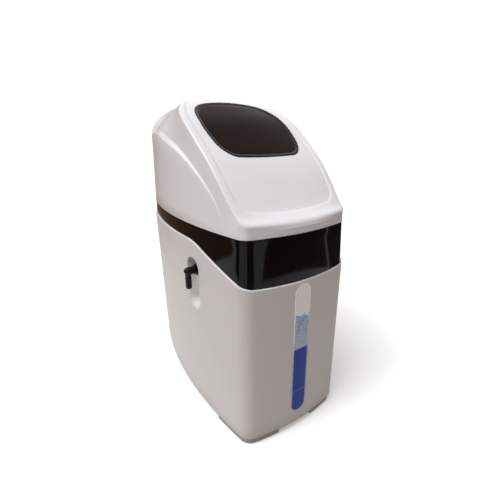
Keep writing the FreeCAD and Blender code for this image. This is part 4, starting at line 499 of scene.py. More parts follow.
class Tree:
    """Short ways to add nodes to a material or a world."""

    def __init__(self, tree: bpy.types.NodeTree) -> None:
        """Takes a node tree and empties it."""
        self.tree = tree
        tree.nodes.clear()

    def node(self, kind: str) -> bpy.types.Node:
        """A new shader node of a kind."""
        return self.tree.nodes.new(f"ShaderNode{kind}")

    def feed(self, socket: Socket, value: Value) -> None:
        """Gives an input its value.

        Args:
            socket: The input.
            value: Another node's output, which is linked, a colour or a plain value.
        """
        if isinstance(value, Socket):
            self.tree.links.new(value, socket)
        else:
            socket.default_value = (*value, 1.0) if isinstance(value, tuple) else value

    def maths(self, operation: Op, *values: Value, clamp: bool = False) -> Socket:
        """Adds a Math node.

        Args:
            operation: The node's operation.
            values: Outputs or numbers that it works on.
            clamp: True holds the result between 0 and 1.

        Returns:
            The node's output.
        """
        node = self.node("Math")
        node.operation = operation.value
        node.use_clamp = clamp
        for socket, value in zip(node.inputs, values):
            self.feed(socket, value)
        return node.outputs[0]

    def seen(self) -> Socket:
        """Finds the rays that show a surface as a picture, not as light.

        Returns:
            1 for rays from the camera, from gloss and through glass, else 0.
        """
        path = self.node("LightPath").outputs
        through = self.maths(Op.MAXIMUM, path["Is Glossy Ray"], path["Is Transmission Ray"])
        return self.maths(Op.MAXIMUM, path["Is Camera Ray"], through)


class Graph(Tree):
    """One material with a Principled shader."""

    def __init__(self, name: str) -> None:
        """Starts the material.

        Args:
            name: Name of the material.
        """
        self.material = bpy.data.materials.new(name)
        self.material.use_nodes = True
        super().__init__(self.material.node_tree)
        shader = self.node("BsdfPrincipled")
        self.shader = shader.inputs
        self.feed(self.node("OutputMaterial").inputs[0], shader.outputs[0])
        self.place = self.node("TexCoord").outputs["Object"]

    def set(self, values: dict[str, Value]) -> None:
        """Sets the shader's own inputs by name."""
        for name, value in values.items():
            self.feed(self.shader[name], value)

    def noise(self, scale: float, detail: float = 3.0, stretch: Colour = (1, 1, 1)) -> Socket:
        """Adds a Noise texture on the piece's own coordinates.

        Args:
            scale: Features per metre.
            detail: Layers of finer features.
            stretch: Scale along each axis.

        Returns:
            The texture's factor.
        """
        mapping = self.node("Mapping")
        mapping.inputs["Scale"].default_value = stretch
        self.feed(mapping.inputs["Vector"], self.place)
        node = self.node("TexNoise")
        self.feed(node.inputs["Scale"], scale)
        self.feed(node.inputs["Detail"], detail)
        self.feed(node.inputs["Vector"], mapping.outputs[0])
        return node.outputs["Fac"]

    def cells(self, scale: float) -> Socket:
        """Adds a Voronoi texture.

        Args:
            scale: Cells per metre.

        Returns:
            The distance to the nearest cell's centre.
        """
        node = self.node("TexVoronoi")
        self.feed(node.inputs["Scale"], scale)
        self.feed(node.inputs["Vector"], self.place)
        return node.outputs["Distance"]

    def range(self, value: Value, source: Span, target: Span) -> Socket:
        """Maps a value from one range to another and holds it at the ends.

        Args:
            value: The value.
            source: Range that the value comes from.
            target: Range that it is mapped to.

        Returns:
            The mapped value.
        """
        node = self.node("MapRange")
        for socket, item in zip(node.inputs, (value, *source, *target)):
            self.feed(socket, item)
        return node.outputs[0]

    def below(self, value: Value, level: float, soft: float) -> Socket:
        """1 where a value is under a level, 0 where it is over it, with a soft edge."""
        return self.range(value, (level - soft, level + soft), (1.0, 0.0))

    def blend(self, share: Value, low: Value, high: Value) -> Socket:
        """Mixes two colours.

        Args:
            share: How much of the second colour there is.
            low: The first colour.
            high: The second colour.

        Returns:
            The mixed colour.
        """
        node = self.node("Mix")
        node.data_type = "RGBA"
        for socket, item in zip((node.inputs[0], node.inputs[6], node.inputs[7]), (share, low, high)):
            self.feed(socket, item)
        return node.outputs[2]

    def axes(self) -> tuple[Socket, ...]:
        """Splits the piece's own coordinates.

        Returns:
            Its x, y and z.
        """
        node = self.node("SeparateXYZ")
        self.feed(node.inputs[0], self.place)
        return tuple(node.outputs)

    def bump(self, height: Value, distance: float) -> None:
        """Puts a bump on the shader's normal.

        Args:
            height: The height, 0 to 1.
            distance: Height of a full step, in metres.
        """
        node = self.node("Bump")
        self.feed(node.inputs["Distance"], distance)
        self.feed(node.inputs["Height"], height)
        self.feed(self.shader["Normal"], node.outputs[0])


@dataclass(frozen=True)
class Finish:
    """A moulded, painted or metal finish.

    Attributes:
        name: Name of the material.
        colour: Base colour.
        rough: Roughness in the middle of its spread.
        spread: How far the roughness varies.
        grain: Noise features per metre.
        depth: Height of the grain in metres.
        tint: How far the colour varies.
        metal: 1 for bare metal.
        specular: Specular level.
        coat: Strength of a clear coat.
        clear: Share of light that passes through.
        stretch: Stretch of the grain along each axis.
        cloud: Features per metre of the colour's variation.
        coat_rough: Roughness of the clear coat.
    """

    name: str
    colour: Colour
    rough: float
    spread: float
    grain: float
    depth: float
    tint: float
    metal: float = 0.0
    specular: float = 0.5
    coat: float = 0.0
    clear: float = 0.0
    stretch: Colour = (1, 1, 1)
    cloud: float = 14.0
    coat_rough: float = 0.08

    @cache
    def material(self) -> bpy.types.Material:
        """Makes the finish's material, once.

        Returns:
            The material.
        """
        graph = Graph(f"{self.name}_finish")
        cloud = graph.noise(self.cloud, detail=4.0)
        grain = graph.noise(self.grain, detail=2.0, stretch=self.stretch)
        dark = tuple(part * (1 - self.tint) for part in self.colour)
        light = tuple(min(part * (1 + self.tint), 1.0) for part in self.colour)
        colour = graph.blend(graph.range(cloud, NOISE, (0.0, 1.0)), dark, light)
        rough = graph.range(grain, NOISE, (self.rough - self.spread, self.rough + self.spread))
        graph.set({"Base Color": colour, "Roughness": rough, "Metallic": self.metal,
                   "Specular IOR Level": self.specular, "Coat Weight": self.coat,
                   "Coat Roughness": self.coat_rough, "Transmission Weight": self.clear})
        graph.bump(grain, self.depth)
        return graph.material


class Look(Enum):
    """The softener's finishes."""

    HOOD = Finish("hood_white", (0.87, 0.86, 0.88), 0.23, 0.03, 1500.0, 0.000006, 0.01, specular=0.4,
                  coat=0.1)
    CABINET = Finish("cabinet_white", (0.745, 0.717, 0.702), 0.50, 0.05, 1100.0, 0.00006, 0.015,
                     specular=0.3)
    BAND = Finish("band_black", (0.004, 0.003, 0.003), 0.07, 0.02, 60.0, 0.0, 0.1, specular=0.16)
    LENS = Finish("smoked_lens", (0.018, 0.0095, 0.0085), 0.12, 0.03, 60.0, 0.0, 0.1, specular=0.025)
    BEZEL = Finish("bezel_grey", (0.020, 0.017, 0.022), 0.34, 0.05, 900.0, 0.00001, 0.05, specular=0.16)
    BASE = Finish("base_grey", (0.42, 0.38, 0.34), 0.55, 0.05, 900.0, 0.00004, 0.05)
    BLACK = Finish("black_nylon", (0.006, 0.006, 0.008), 0.30, 0.08, 900.0, 0.00003, 0.15, specular=0.15)
    VALVE = Finish("glass_filled_black", (0.03, 0.03, 0.032), 0.50, 0.08, 700.0, 0.00005, 0.15)
    RUBBER = Finish("seal_rubber", (0.02, 0.02, 0.02), 0.70, 0.08, 700.0, 0.00004, 0.15)
    BOOT = Finish("boot_black", (0.028, 0.028, 0.03), 0.62, 0.08, 500.0, 0.00005, 0.12)
    TANK = Finish("tank_wrap", (0.05, 0.12, 0.30), 0.38, 0.08, 260.0, 0.00012, 0.15, stretch=(1, 1, 5))
    RESIN = Finish("resin_grains", (0.46, 0.24, 0.06), 0.45, 0.1, 1500.0, 0.0004, 0.25)
    WHITE = Finish("moulded_white", (0.78, 0.78, 0.75), 0.44, 0.07, 900.0, 0.00002, 0.03)
    NYLON = Finish("gear_nylon", (0.76, 0.73, 0.62), 0.46, 0.07, 900.0, 0.00002, 0.05)
    BRACKET = Finish("bracket_grey", (0.16, 0.16, 0.17), 0.50, 0.07, 900.0, 0.00004, 0.08)
    COVER = Finish("cover_black", (0.022, 0.022, 0.026), 0.48, 0.07, 1300.0, 0.00006, 0.1)
    BOARD = Finish("board_green", (0.015, 0.11, 0.045), 0.40, 0.08, 500.0, 0.00003, 0.2)
    DISPLAY = Finish("display_clear", (0.30, 0.40, 0.36), 0.08, 0.03, 100.0, 0.0, 0.03, clear=0.6)
    BUTTON = Finish("button_rubber", (0.24, 0.26, 0.28), 0.62, 0.07, 900.0, 0.00003, 0.06)
    KNOB = Finish("knob_red", (0.50, 0.030, 0.022), 0.38, 0.06, 900.0, 0.00002, 0.05)
    CAP = Finish("cap_grey", (0.24, 0.25, 0.27), 0.46, 0.07, 900.0, 0.00003, 0.05)
    FLOAT = Finish("float_white", (0.72, 0.74, 0.76), 0.40, 0.07, 400.0, 0.00003, 0.04)
    HINGE = Finish("hinge_enamel", (0.02, 0.02, 0.02), 0.36, 0.08, 700.0, 0.00003, 0.1)
    STEEL = Finish("bright_steel", (0.62, 0.62, 0.61), 0.30, 0.08, 900.0, 0.00001, 0.04, metal=1.0,
                   stretch=(1, 1, 12))
    ZINC = Finish("zinc_can", (0.58, 0.58, 0.60), 0.34, 0.1, 500.0, 0.00002, 0.08, metal=1.0,
                  stretch=(1, 12, 1))

    def material(self) -> bpy.types.Material:
        """The finish as a material."""
        return self.value.material()


@dataclass(frozen=True)
class Works:
    """A sub-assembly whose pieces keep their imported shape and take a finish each.

    Attributes:
        name: Name of the sub-assembly.
        looks: The finishes, with the pieces that each is for.
    """

    name: str
    looks: dict[Look, tuple[str, ...]]

    def dress(self, nodes: dict[str, bpy.types.Object]) -> None:
        """Gives every piece its finish.

        Args:
            nodes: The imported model's pieces by name.
        """
        for look, names in self.looks.items():
            for name in names:
                data = nodes[name].data
                data.materials.clear()
                data.materials.append(look.material())
                LOG.info("%s, %s: %s", self.name, name, look.value.name)


WORKS = (
    Works("base", {Look.BASE: ("base_plinth",), Look.STEEL: ("case_screws",)}),
    Works("hood hinge", {Look.HINGE: ("hinge_lower_leaves", "hinge_upper_leaves"),
                         Look.STEEL: ("hinge_pins", "hood_screws")}),
    Works("overflow", {Look.BLACK: ("overflow_fitting", "overflow_nut", "overflow_elbow"),
                       Look.RUBBER: ("overflow_gasket",)}),
    Works("resin vessel", {Look.TANK: ("resin_tank",), Look.BOOT: ("tank_boot",),
                           Look.RESIN: ("resin_bed",),
                           Look.WHITE: ("bottom_basket", "riser_tube", "top_screen")}),
    Works("control valve", {Look.VALVE: ("valve_body", "end_plug", "injector_cap"),
                            Look.WHITE: ("spacer_stack", "piston", "piston_rod", "injector", "drain_elbow",
                                         "brine_elbow", "brine_nut", "brine_tube"),
                            Look.RUBBER: ("seal_rings",)}),
    Works("meter", {Look.WHITE: ("flow_turbine",), Look.STEEL: ("meter_spindle",)}),
    Works("drive", {Look.BRACKET: ("drive_bracket",), Look.ZINC: ("drive_motor",),
                    Look.NYLON: ("drive_gear", "idler_gear", "motor_pinion")}),
    Works("control head", {Look.COVER: ("valve_cover",), Look.BOARD: ("display_board",),
                           Look.DISPLAY: ("display_lens",), Look.BLACK: ("power_jack",),
                           Look.BUTTON: ("menu_button", "down_button", "up_button", "set_button")}),
    Works("bypass", {Look.VALVE: ("bypass_body", "union_nuts"), Look.WHITE: ("pipe_stubs",),
                     Look.KNOB: ("inlet_knob", "outlet_knob")}),
    Works("brine side", {Look.WHITE: ("brine_well", "salt_grid", "brine_riser", "brine_valve"),
                         Look.CAP: ("well_cap",), Look.FLOAT: ("brine_float",)}),
)


class Piece:
    """One finished piece of the scene."""

    def __init__(self, name: str, mesh: bmesh.types.BMesh, look: bpy.types.Material,
                 crease: float) -> None:
        """Makes the object.

        Args:
            name: Name of the piece.
            mesh: Its shape, in the row's frame.
            look: Its material.
            crease: Angle in degrees above which an edge stays sharp.
        """
        self.crease = crease
        self.object = placed(name, mesh)
        self.object.data.materials.append(look)
        self.smooth()

    def smooth(self) -> None:
        """Shades the piece smooth but for its sharp edges."""
        data = self.object.data
        data.polygons.foreach_set("use_smooth", [True] * len(data.polygons))
        data.set_sharp_from_angle(angle=math.radians(self.crease))

    def carve(self, low: Vector, high: Vector) -> None:
        """Cuts a block out of the piece.

        Args:
            low: The block's lowest corner.
            high: The block's highest corner.
        """
        block = bmesh.new()
        shape = Matrix.Translation((low + high) / 2) @ Matrix.Diagonal((*(high - low), 1.0))
        bmesh.ops.create_cube(block, size=1.0, matrix=shape)
        cutter = placed("block", block)
        cut = self.object.modifiers.new("cut", "BOOLEAN")
        cut.operation = "DIFFERENCE"
        cut.solver = "EXACT"
        cut.object = cutter
        self.apply()
        bpy.data.objects.remove(cutter)

    def apply(self) -> None:
        """Turns the piece's modifiers into its mesh."""
        graph = bpy.context.evaluated_depsgraph_get()
        data = bpy.data.meshes.new_from_object(self.object.evaluated_get(graph))
        self.object.modifiers.clear()
        self.object.data = data
        self.smooth()

    def mounted(self, body: Body, node: str) -> None:
        """Rides on a body and stands for a node.

        Args:
            body: The body that carries the piece.
            node: The node that the piece replaces.
        """
        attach(self.object, body.value)
        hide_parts(node)
        LOG.info("%s: %d faces on %s", self.object.name, len(self.object.data.polygons), body.value)


@dataclass(frozen=True)
class PipeOpening:
    """Opening for the pipes in the back of band and hood.

    Attributes:
        half: Half its width.
        front: How far inwards the cut reaches.
        back: How far outwards the cut reaches.
        hood: Levels between which the hood is cut.
        band: Levels between which the band is cut.
    """

    half: float = 0.060
    front: float = 0.150
    back: float = 0.260
    hood: Span = (SEAM - 0.010, SEAM + 0.044)
    band: Span = (SEAM - 0.024, SEAM + 0.020)

    def carve(self, piece: Piece, levels: Span) -> None:
        """Cuts the opening out of a piece between two levels."""
        low, high = levels
        piece.carve(Vector((-self.half, self.front, low)), Vector((self.half, self.back, high)))


@dataclass(frozen=True)
class Rise:
    """The hood's shape at one distance behind the front, in millimetres.

    Attributes:
        distance: Distance behind the cabinet's front.
        middle: Height of the top over the seam, in the middle.
        crown: How far the top drops to its edges.
        edge: How far the top's edge lies inside the side.
    """

    distance: float
    middle: float
    crown: float
    edge: float


@dataclass(frozen=True)
class Shoulder:
    """The soft ledge on the hood's side at one distance behind the front, in millimetres.

    Attributes:
        distance: Distance behind the cabinet's front.
        level: Height of the ledge over the seam.
        width: How far it steps inwards.
    """

    distance: float
    level: float
    width: float


RISES = [
    Rise(-17, 9, 2, 6), Rise(12.7, 21.8, 2, 6.6), Rise(26.7, 29.2, 2, 7.2),
    Rise(36, 38.2, 2, 7.7), Rise(52.7, 58.2, 2.6, 8.3), Rise(75.7, 85.2, 3.3, 9.8),
    Rise(102.7, 112.7, 4, 12), Rise(132.7, 137.7, 5, 14), Rise(166.7, 164.2, 5.5, 16.2),
    Rise(190, 179.5, 6, 19), Rise(210, 190.5, 6.5, 24), Rise(232.7, 202, 7.5, 33.5),
    Rise(262.7, 211.5, 9.2, 47), Rise(292.7, 217, 10.7, 60.5), Rise(330, 219, 11.7, 71.5),
    Rise(390, 219, 11.7, 69), Rise(470, 219, 11.7, 66),
]

SHOULDERS = [
    Shoulder(-17, 7, 0), Shoulder(30, 11, 0), Shoulder(52, 19, 0), Shoulder(65, 30, 0.3),
    Shoulder(79, 48, 1.0), Shoulder(92, 60, 1.5), Shoulder(120, 80.5, 2.4), Shoulder(151, 99, 3.4),
    Shoulder(188, 116, 5), Shoulder(234.5, 131, 6.5), Shoulder(288, 144, 7.5), Shoulder(317, 152, 8),
    Shoulder(373, 160, 8), Shoulder(470, 162, 8),
]


Row = Rise | Shoulder


def curved(table: Sequence[Row], distance: float, measure: Measure) -> float:
    """One measure of a table on a smooth curve through its rows.

    Args:
        table: Rows with a distance each, in rising order.
        distance: Where the measure is wanted, in millimetres.
        measure: The measure.

    Returns:
        The measure in metres.
    """
    distance = min(max(distance, table[0].distance), table[-1].distance)
    number = next(index for index in range(len(table) - 1) if distance <= table[index + 1].distance)
    low, high = table[number], table[number + 1]
    before, after = table[max(number - 1, 0)], table[min(number + 2, len(table) - 1)]
    gap = high.distance - low.distance
    share = (distance - low.distance) / gap
    previous, start, end, following = (getattr(row, measure.value) for row in (before, low, high, after))
    leave = (end - previous) / (high.distance - before.distance)
    arrive = (following - start) / (after.distance - low.distance)
    stay = 2 * share ** 3 - 3 * share ** 2 + 1
    bend = (share ** 3 - 2 * share ** 2 + share) * leave + (share ** 3 - share ** 2) * arrive
    return (stay * start + (1 - stay) * end + gap * bend) / MILLIMETRES


@dataclass(frozen=True)
class Loop:
    """A closed line in the plan that is the same on the left and the right.

    Attributes:
        along: Place on the right side, from its front end at 0 to its back end at 1.
        front: Place on the front at an x.
        back: Place on the back at an x.
        front_x: Where the front meets its corner.
        back_x: Where the back meets its corner.
        front_knee: The point that the front corner rounds.
        back_knee: The point that the back corner rounds.
        front_weight: How close the front corner comes to its knee.
        back_weight: How close the back corner comes to its knee.
    """

    along: Callable[[float], Vector]
    front: Callable[[float], Vector]
    back: Callable[[float], Vector]
    front_x: float
    back_x: float
    front_knee: Vector
    back_knee: Vector
    front_weight: float
    back_weight: float

    def place(self, station: Station) -> Vector:
        """Finds a station's place on the line.

        Args:
            station: The station on the cabinet's outline.

        Returns:
            The place in the plan.
        """
        if station.side is Side.FRONT:
            return self.front(mix(-self.front_x, self.front_x, station.share))
        if station.side is Side.BACK:
            return self.back(mix(self.back_x, -self.back_x, station.share))
        if station.side in SIDES:
            return station.half(self.along(station.turn))
        if station.side in FRONT_CORNERS:
            end = self.front(self.front_x)
            return station.half(conic(self.along(0), self.front_knee, end, self.front_weight, station.turn))
        end = self.back(self.back_x)
        return station.half(conic(self.along(1), self.back_knee, end, self.back_weight, station.turn))


@dataclass(frozen=True)
class TopLine:
    """Insets of a closed line on the hood's top.

    Attributes:
        side: Inset from the top's side edges.
        front: Inset from the cabinet's front.
        back: How far back the line reaches.
        front_round: Length of the front corners.
        back_round: Length of the back corners.
    """

    side: float
    front: float
    back: float
    front_round: float
    back_round: float


@dataclass(frozen=True)
class WindowLine:
    """The window's outline in the plan.

    Attributes:
        front: Where the front edge's ends lie.
        front_half: Half the width at the front.
        back: Where the back edge's ends lie.
        back_half: Half the width at the back.
        side_bow: How far the sides bow outwards.
        front_bow: How far the front edge bows outwards.
        back_bow: How far the back edge bows outwards.
        front_cut: Length of the front corners.
        back_cut: Length of the back corners.
        cut_shrink: How fast the corners shrink with an inset.
        front_weight: How close the front corners come to a point.
        back_weight: How close the back corners come to a point.
    """

    front: float = -0.1172
    front_half: float = 0.0848
    back: float = 0.0070
    back_half: float = 0.0915
    side_bow: float = 0.0020
    front_bow: float = 0.0056
    back_bow: float = 0.0128
    front_cut: float = 0.030
    back_cut: float = 0.046
    cut_shrink: float = 0.8
    front_weight: float = 0.80
    back_weight: float = 0.95

    def loop(self, inset: float) -> Loop:
        """Works out the outline at an inset.

        Args:
            inset: Distance inwards.

        Returns:
            The closed line.
        """
        near = Vector((self.front_half - inset, self.front + inset))
        far = Vector((self.back_half - inset, self.back - inset))
        front_cut = self.front_cut - inset * self.cut_shrink
        back_cut = self.back_cut - inset * self.cut_shrink
        unit = (far - near).normalized()
        low, high = near + unit * front_cut, far - unit * back_cut
        front_x, back_x = near.x - front_cut, far.x - back_cut
        lean = math.pi * self.side_bow / (high - low).length

        def along(share: float) -> Vector:
            """Place on the bowed right side."""
            return low.lerp(high, share) + Vector((self.side_bow * math.sin(math.pi * share), 0.0))

        def front(x: float) -> Vector:
            """Place on the bowed front."""
            return Vector((x, near.y - self.front_bow * (1 - (x / near.x) ** 2)))

        def back(x: float) -> Vector:
            """Place on the bowed back."""
            return Vector((x, far.y + self.back_bow * (1 - (x / far.x) ** 2)))

        front_knee = near - Vector((lean * front_cut, self.front_bow * (1 - front_x / near.x) ** 2))
        back_knee = far + Vector((-lean * back_cut, self.back_bow * (1 - back_x / far.x) ** 2))
        return Loop(along, front, back, front_x, back_x, front_knee, back_knee, self.front_weight,
                    self.back_weight)


@dataclass(frozen=True)
class Slope:
    """One section of the slope between the hood's wall and its top.

    Attributes:
        start: Upper end of the ledge.
        knee: Corner that the slope rounds.
        end: Edge of the top.
        weight: How round the slope is.
        level: Level where the ledge begins.
        rise: Height of the ledge.
        ledge: How far the ledge steps inwards.
    """

    start: Vector
    knee: Vector
    end: Vector
    weight: float
    level: float
    rise: float
    ledge: float

    def at(self, share: float) -> Vector:
        """Point a share of the way up the slope."""
        return conic(self.start, self.knee, self.end, self.weight, share)


@dataclass(frozen=True)
class Hood:
    """Glossy white hood: leaning walls with a soft ledge, and a tongue-shaped top with a sunk panel.

    Attributes:
        plan: The cabinet's outline.
        taper: How far the hood stands back from it.
        opening: Opening for the pipes in its back.
        draft: How far the walls lean inwards.
        foot: Level of its lower edge.
        foot_round: Rounding of that edge.
        wall: Thickness of the walls.
        roof: Thickness of the top.
        lip: How far the edge of the window's opening reaches below the top.
        ledge_rise: Height of the ledge where it runs out.
        ledge_lift: How much a wider ledge is higher.
        ledge_swell: How fast that grows with its width.
        shoulder_limit: The most of the wall's height that the shoulder reaches.
        edge_cut: Length of the rounding at the top's edge.
        edge_weight: How tight that rounding is.
        panel_rise: Height of the sunk panel over the top, below zero.
        panel_step: Width of the soft step down to it.
        window_gap: Play round the window's rim.
        back_round: Height of the rounding between the back and the top.
        roof_pull: How far the inner skin's edge is pulled in, in walls.
        full_start: Where the slope starts to swell, front to back.
        full_length: Over what length it swells.
        side_full: How full the slope is on the sides.
        back_full: How full the slope is at the back.
        rear_bow: How much the top's back is bowed.
        lean_step: Share of the side's length over which its lean is taken.
        slope_weight: How tight the slope's rounding is.
        line_weight: How tight the corners of the top's lines are.
        crease: Angle in degrees above which an edge stays sharp.
        detail: How fine the skin is round the outline.
        wall_rings: Rings on the wall.
        ledge_rings: Rings on the ledge.
        slope_rings: Rings on the slope.
        edge_rings: Rings on the rounding of the top's edge.
        border_rings: Rings between that edge and the step.
        step_rings: Rings on the step.
        panel_rings: Rings on the sunk panel.
        roof_rings: Rings under the top.
        inner_slope_rings: Rings under the slope.
        inner_wall_rings: Rings on the wall's inside.
        window: The window's outline.
        edge_line: The top's edge.
        panel_line: The middle of the step down to the sunk panel.
    """

    plan: Plan
    taper: Taper
    opening: PipeOpening
    draft: float = math.radians(2.7)
    foot: float = SEAM - 0.0008
    foot_round: float = 0.0010
    wall: float = 0.0035
    roof: float = 0.0042
    lip: float = 0.0010
    ledge_rise: float = 0.0040
    ledge_lift: float = 0.35
    ledge_swell: float = 60.0
    shoulder_limit: float = 0.75
    edge_cut: float = 0.0046
    edge_weight: float = 0.75
    panel_rise: float = -0.0018
    panel_step: float = 0.0065
    window_gap: float = 0.0002
    back_round: float = 0.052
    roof_pull: float = 0.6
    full_start: float = -0.04
    full_length: float = 0.22
    side_full: float = 0.22
    back_full: float = 0.46
    slope_weight: float = 0.8
    line_weight: float = 0.72
    rear_bow: float = 0.04
    lean_step: float = 0.02
    crease: float = 50.0
    detail: Detail = Detail(72, 44, 14)
    wall_rings: int = 6
    ledge_rings: int = 10
    slope_rings: int = 11
    edge_rings: int = 8
    border_rings: int = 3
    step_rings: int = 6
    panel_rings: int = 16
    roof_rings: int = 9
    inner_slope_rings: int = 7
    inner_wall_rings: int = 3
    window: WindowLine = WindowLine()
    edge_line: TopLine = TopLine(0.0, 0.0062, 0.164, 0.022, 0.058)
    panel_line: TopLine = TopLine(0.0122, 0.0280, 0.152, 0.026, 0.054)

    def measure(self, table: Sequence[Row], y: float, measure: Measure) -> float:
        """A table's measure at a place along the cabinet."""
        return curved(table, (y + self.plan.half_depth) * MILLIMETRES, measure)

    def top_half(self, y: float) -> float:
        """Half width of the top at a place along the cabinet."""
        return self.plan.side_x(y) - self.measure(RISES, y, Measure.EDGE)

    def top_level(self, x: float, y: float) -> float:
        """Level of the smooth top over a place in the plan."""
        drop = self.measure(RISES, y, Measure.CROWN) * (x / self.top_half(y)) ** 2
        return SEAM + self.measure(RISES, y, Measure.MIDDLE) - drop

    def on_top(self, place: Vector, lift: float) -> Vector:
        """Point over a place in the plan, lifted from the smooth top."""
        return Vector((place.x, place.y, self.top_level(place.x, place.y) + lift))

    def loop(self, line: TopLine) -> Loop:
        """Works out a closed line on the top.

        Args:
            line: The line's insets and corners.

        Returns:
            The closed line.
        """
        corner = self.plan.quarter[0].y
        near = line.front_round - (self.plan.half_depth - line.front) + corner
        far = line.back - line.back_round - corner

        def along(share: float) -> Vector:
            """Place on the right side."""
            y = mix(-corner, corner, share) + near * (1 - share) ** 2 + far * share ** 2
            return Vector((self.top_half(y) - line.side, y))

        def front(x: float) -> Vector:
            """Place on the front."""
            return Vector((x, -(self.plan.end_y(x) - line.front)))

        def back(x: float) -> Vector:
            """Place on the back."""
            return Vector((x, line.back - self.rear_bow * x * x / line.back))

        start, after = along(0), along(self.lean_step)
        front_x, back_x = start.x - line.front_round, along(1).x - line.back_round
        front_y = front(front_x).y
        lean = (after.x - start.x) / (after.y - start.y)
        front_knee = Vector((start.x - lean * (start.y - front_y), front_y))
        back_knee = Vector((along(1).x, back(back_x).y))
        return Loop(along, front, back, front_x, back_x, front_knee, back_knee, self.line_weight,
                    self.line_weight)

    def backness(self, station: Station) -> float:
        """How much a station belongs to the hood's back, 0 to 1."""
        return ease(station.turn) if station.side in BACK_CORNERS else float(station.side is Side.BACK)

    def wall_at(self, station: Station, level: float, inside: float) -> Vector:
        """Point on the leaning wall at a level, or further inside."""
        return station.at(self.taper.hood(station) + (level - SEAM) * math.tan(self.draft) + inside, level)

    def slope(self, station: Station, wall: float, roof: float) -> Slope:
        """The slope from the wall's shoulder up to the top's edge.

        Args:
            station: The station on the outline.
            wall: How far inside the outer skin the wall lies.
            roof: How far below the outer skin the top lies.

        Returns:
            The slope's points, rounding and ledge.
        """
        backness = self.backness(station)
        edge = self.loop(self.edge_line).place(station)
        top = self.top_level(edge.x, edge.y)
        y = station.at(0.0).y
        high = min(SEAM + self.measure(SHOULDERS, y, Measure.LEVEL),
                   mix(SEAM, top, self.shoulder_limit))
        level = mix(high, top - self.back_round, backness)
        ledge = self.measure(SHOULDERS, y, Measure.WIDTH) * (1 - backness)
        rise = self.ledge_rise + (self.ledge_lift + self.ledge_swell * ledge) * ledge
        start = self.wall_at(station, level + rise / 2, wall + ledge)
        inward = (Vector((0.0, 0.0)) - edge).normalized() * wall * self.roof_pull
        end = Vector((edge.x + inward.x, edge.y + inward.y, top - roof))
        swell = ease((y - self.full_start) / self.full_length)
        fullness = mix(self.side_full * swell, self.back_full, backness)
        knee = ((start + end) / 2).lerp(Vector((start.x, start.y, end.z)), fullness)
        return Slope(start, knee, end, self.slope_weight, level - rise / 2, rise, ledge)

    def outside(self, station: Station, slope: Slope) -> list[Vector]:
        """The outer section below the top.

        Args:
            station: The station on the outline.
            slope: The slope there.

        Returns:
            Its points, from the foot up to the rounding of the top's edge.
        """
        foot, small, inset = self.foot, self.foot_round, self.taper.hood(station)
        points = [station.at(inset + small * share, foot + small * lift)
                  for share, lift in ((1, 0), (ROUNDED, ROUNDED), (0, 1))]
        points += [self.wall_at(station, level, 0.0)
                   for level in steps(self.wall_rings, foot + small, slope.level)]
        points += [self.wall_at(station, slope.level + slope.rise * share, slope.ledge * ease(share))
                   for share in steps(self.ledge_rings)]
        edge_in = 1 - self.edge_cut / (slope.end - slope.start).length
        return points + [slope.at(share) for share in steps(self.slope_rings, 0.0, edge_in)]

    def top(self, station: Station, end: Vector, before: Vector) -> list[Vector]:
        """The outer section of the top.

        Args:
            station: The station on the outline.
            end: The top's edge.
            before: The last point below it.

        Returns:
            Its points, from the edge's rounding over the sunk panel and down into the window's opening.
        """
        edge = Vector(end.xy)
        panel = self.loop(self.panel_line).place(station)
        window = self.window.loop(-self.window_gap).place(station)
        border = (panel - edge).length
        cut, half_step = self.edge_cut / border, self.panel_step / 2 / border
        beyond = self.panel_step / 2 / (window - panel).length
        after = self.on_top(edge.lerp(panel, cut), 0.0)
        low, high = edge.lerp(panel, 1 - half_step), panel.lerp(window, beyond)
        points = [conic(before, end, after, self.edge_weight, share) for share in steps(self.edge_rings)]
        points += [self.on_top(edge.lerp(panel, share), 0.0)
                   for share in steps(self.border_rings, cut, 1 - half_step)]
        points += [self.on_top(low.lerp(high, share), self.panel_rise * ease(share))
                   for share in steps(self.step_rings)]
        points += [self.on_top(panel.lerp(window, share), self.panel_rise)
                   for share in steps(self.panel_rings, beyond, 1.0)]
        return points + [self.on_top(window, self.panel_rise - self.roof - self.lip)]

    def inside(self, station: Station) -> list[Vector]:
        """The inner section.

        Args:
            station: The station on the outline.

        Returns:
            Its points, from the window down to the foot.
        """
        window = self.window.loop(-self.window_gap).place(station)
        slope = self.slope(station, self.wall, self.roof)
        edge = Vector(slope.end.xy)
        points = [self.on_top(window.lerp(edge, share), -self.roof) for share in steps(self.roof_rings)]
        points += [slope.at(share) for share in steps(self.inner_slope_rings, 1.0, 0.0)]
        return points + [self.wall_at(station, level, self.wall)
                         for level in steps(self.inner_wall_rings, slope.start.z, self.foot)]

    def profile(self, station: Station) -> list[Vector]:
        """The hood's closed section.

        Args:
            station: The station on the outline.

        Returns:
            Its points, from the foot over the outside to the window and back down the inside.
        """
        slope = self.slope(station, 0.0, 0.0)
        points = self.outside(station, slope)
        return points + self.top(station, slope.end, points[-1]) + self.inside(station)

    def build(self) -> None:
        """Makes the hood, with its opening for the pipes."""
        sections = [self.profile(station) for station in self.plan.stations(self.detail)]
        mesh = skin_of(list(zip(*sections)))
        piece = Piece("hood_skin", mesh, Look.HOOD.material(), self.crease)
        self.opening.carve(piece, self.opening.hood)
        piece.mounted(Body.HOOD, "hood_cover")


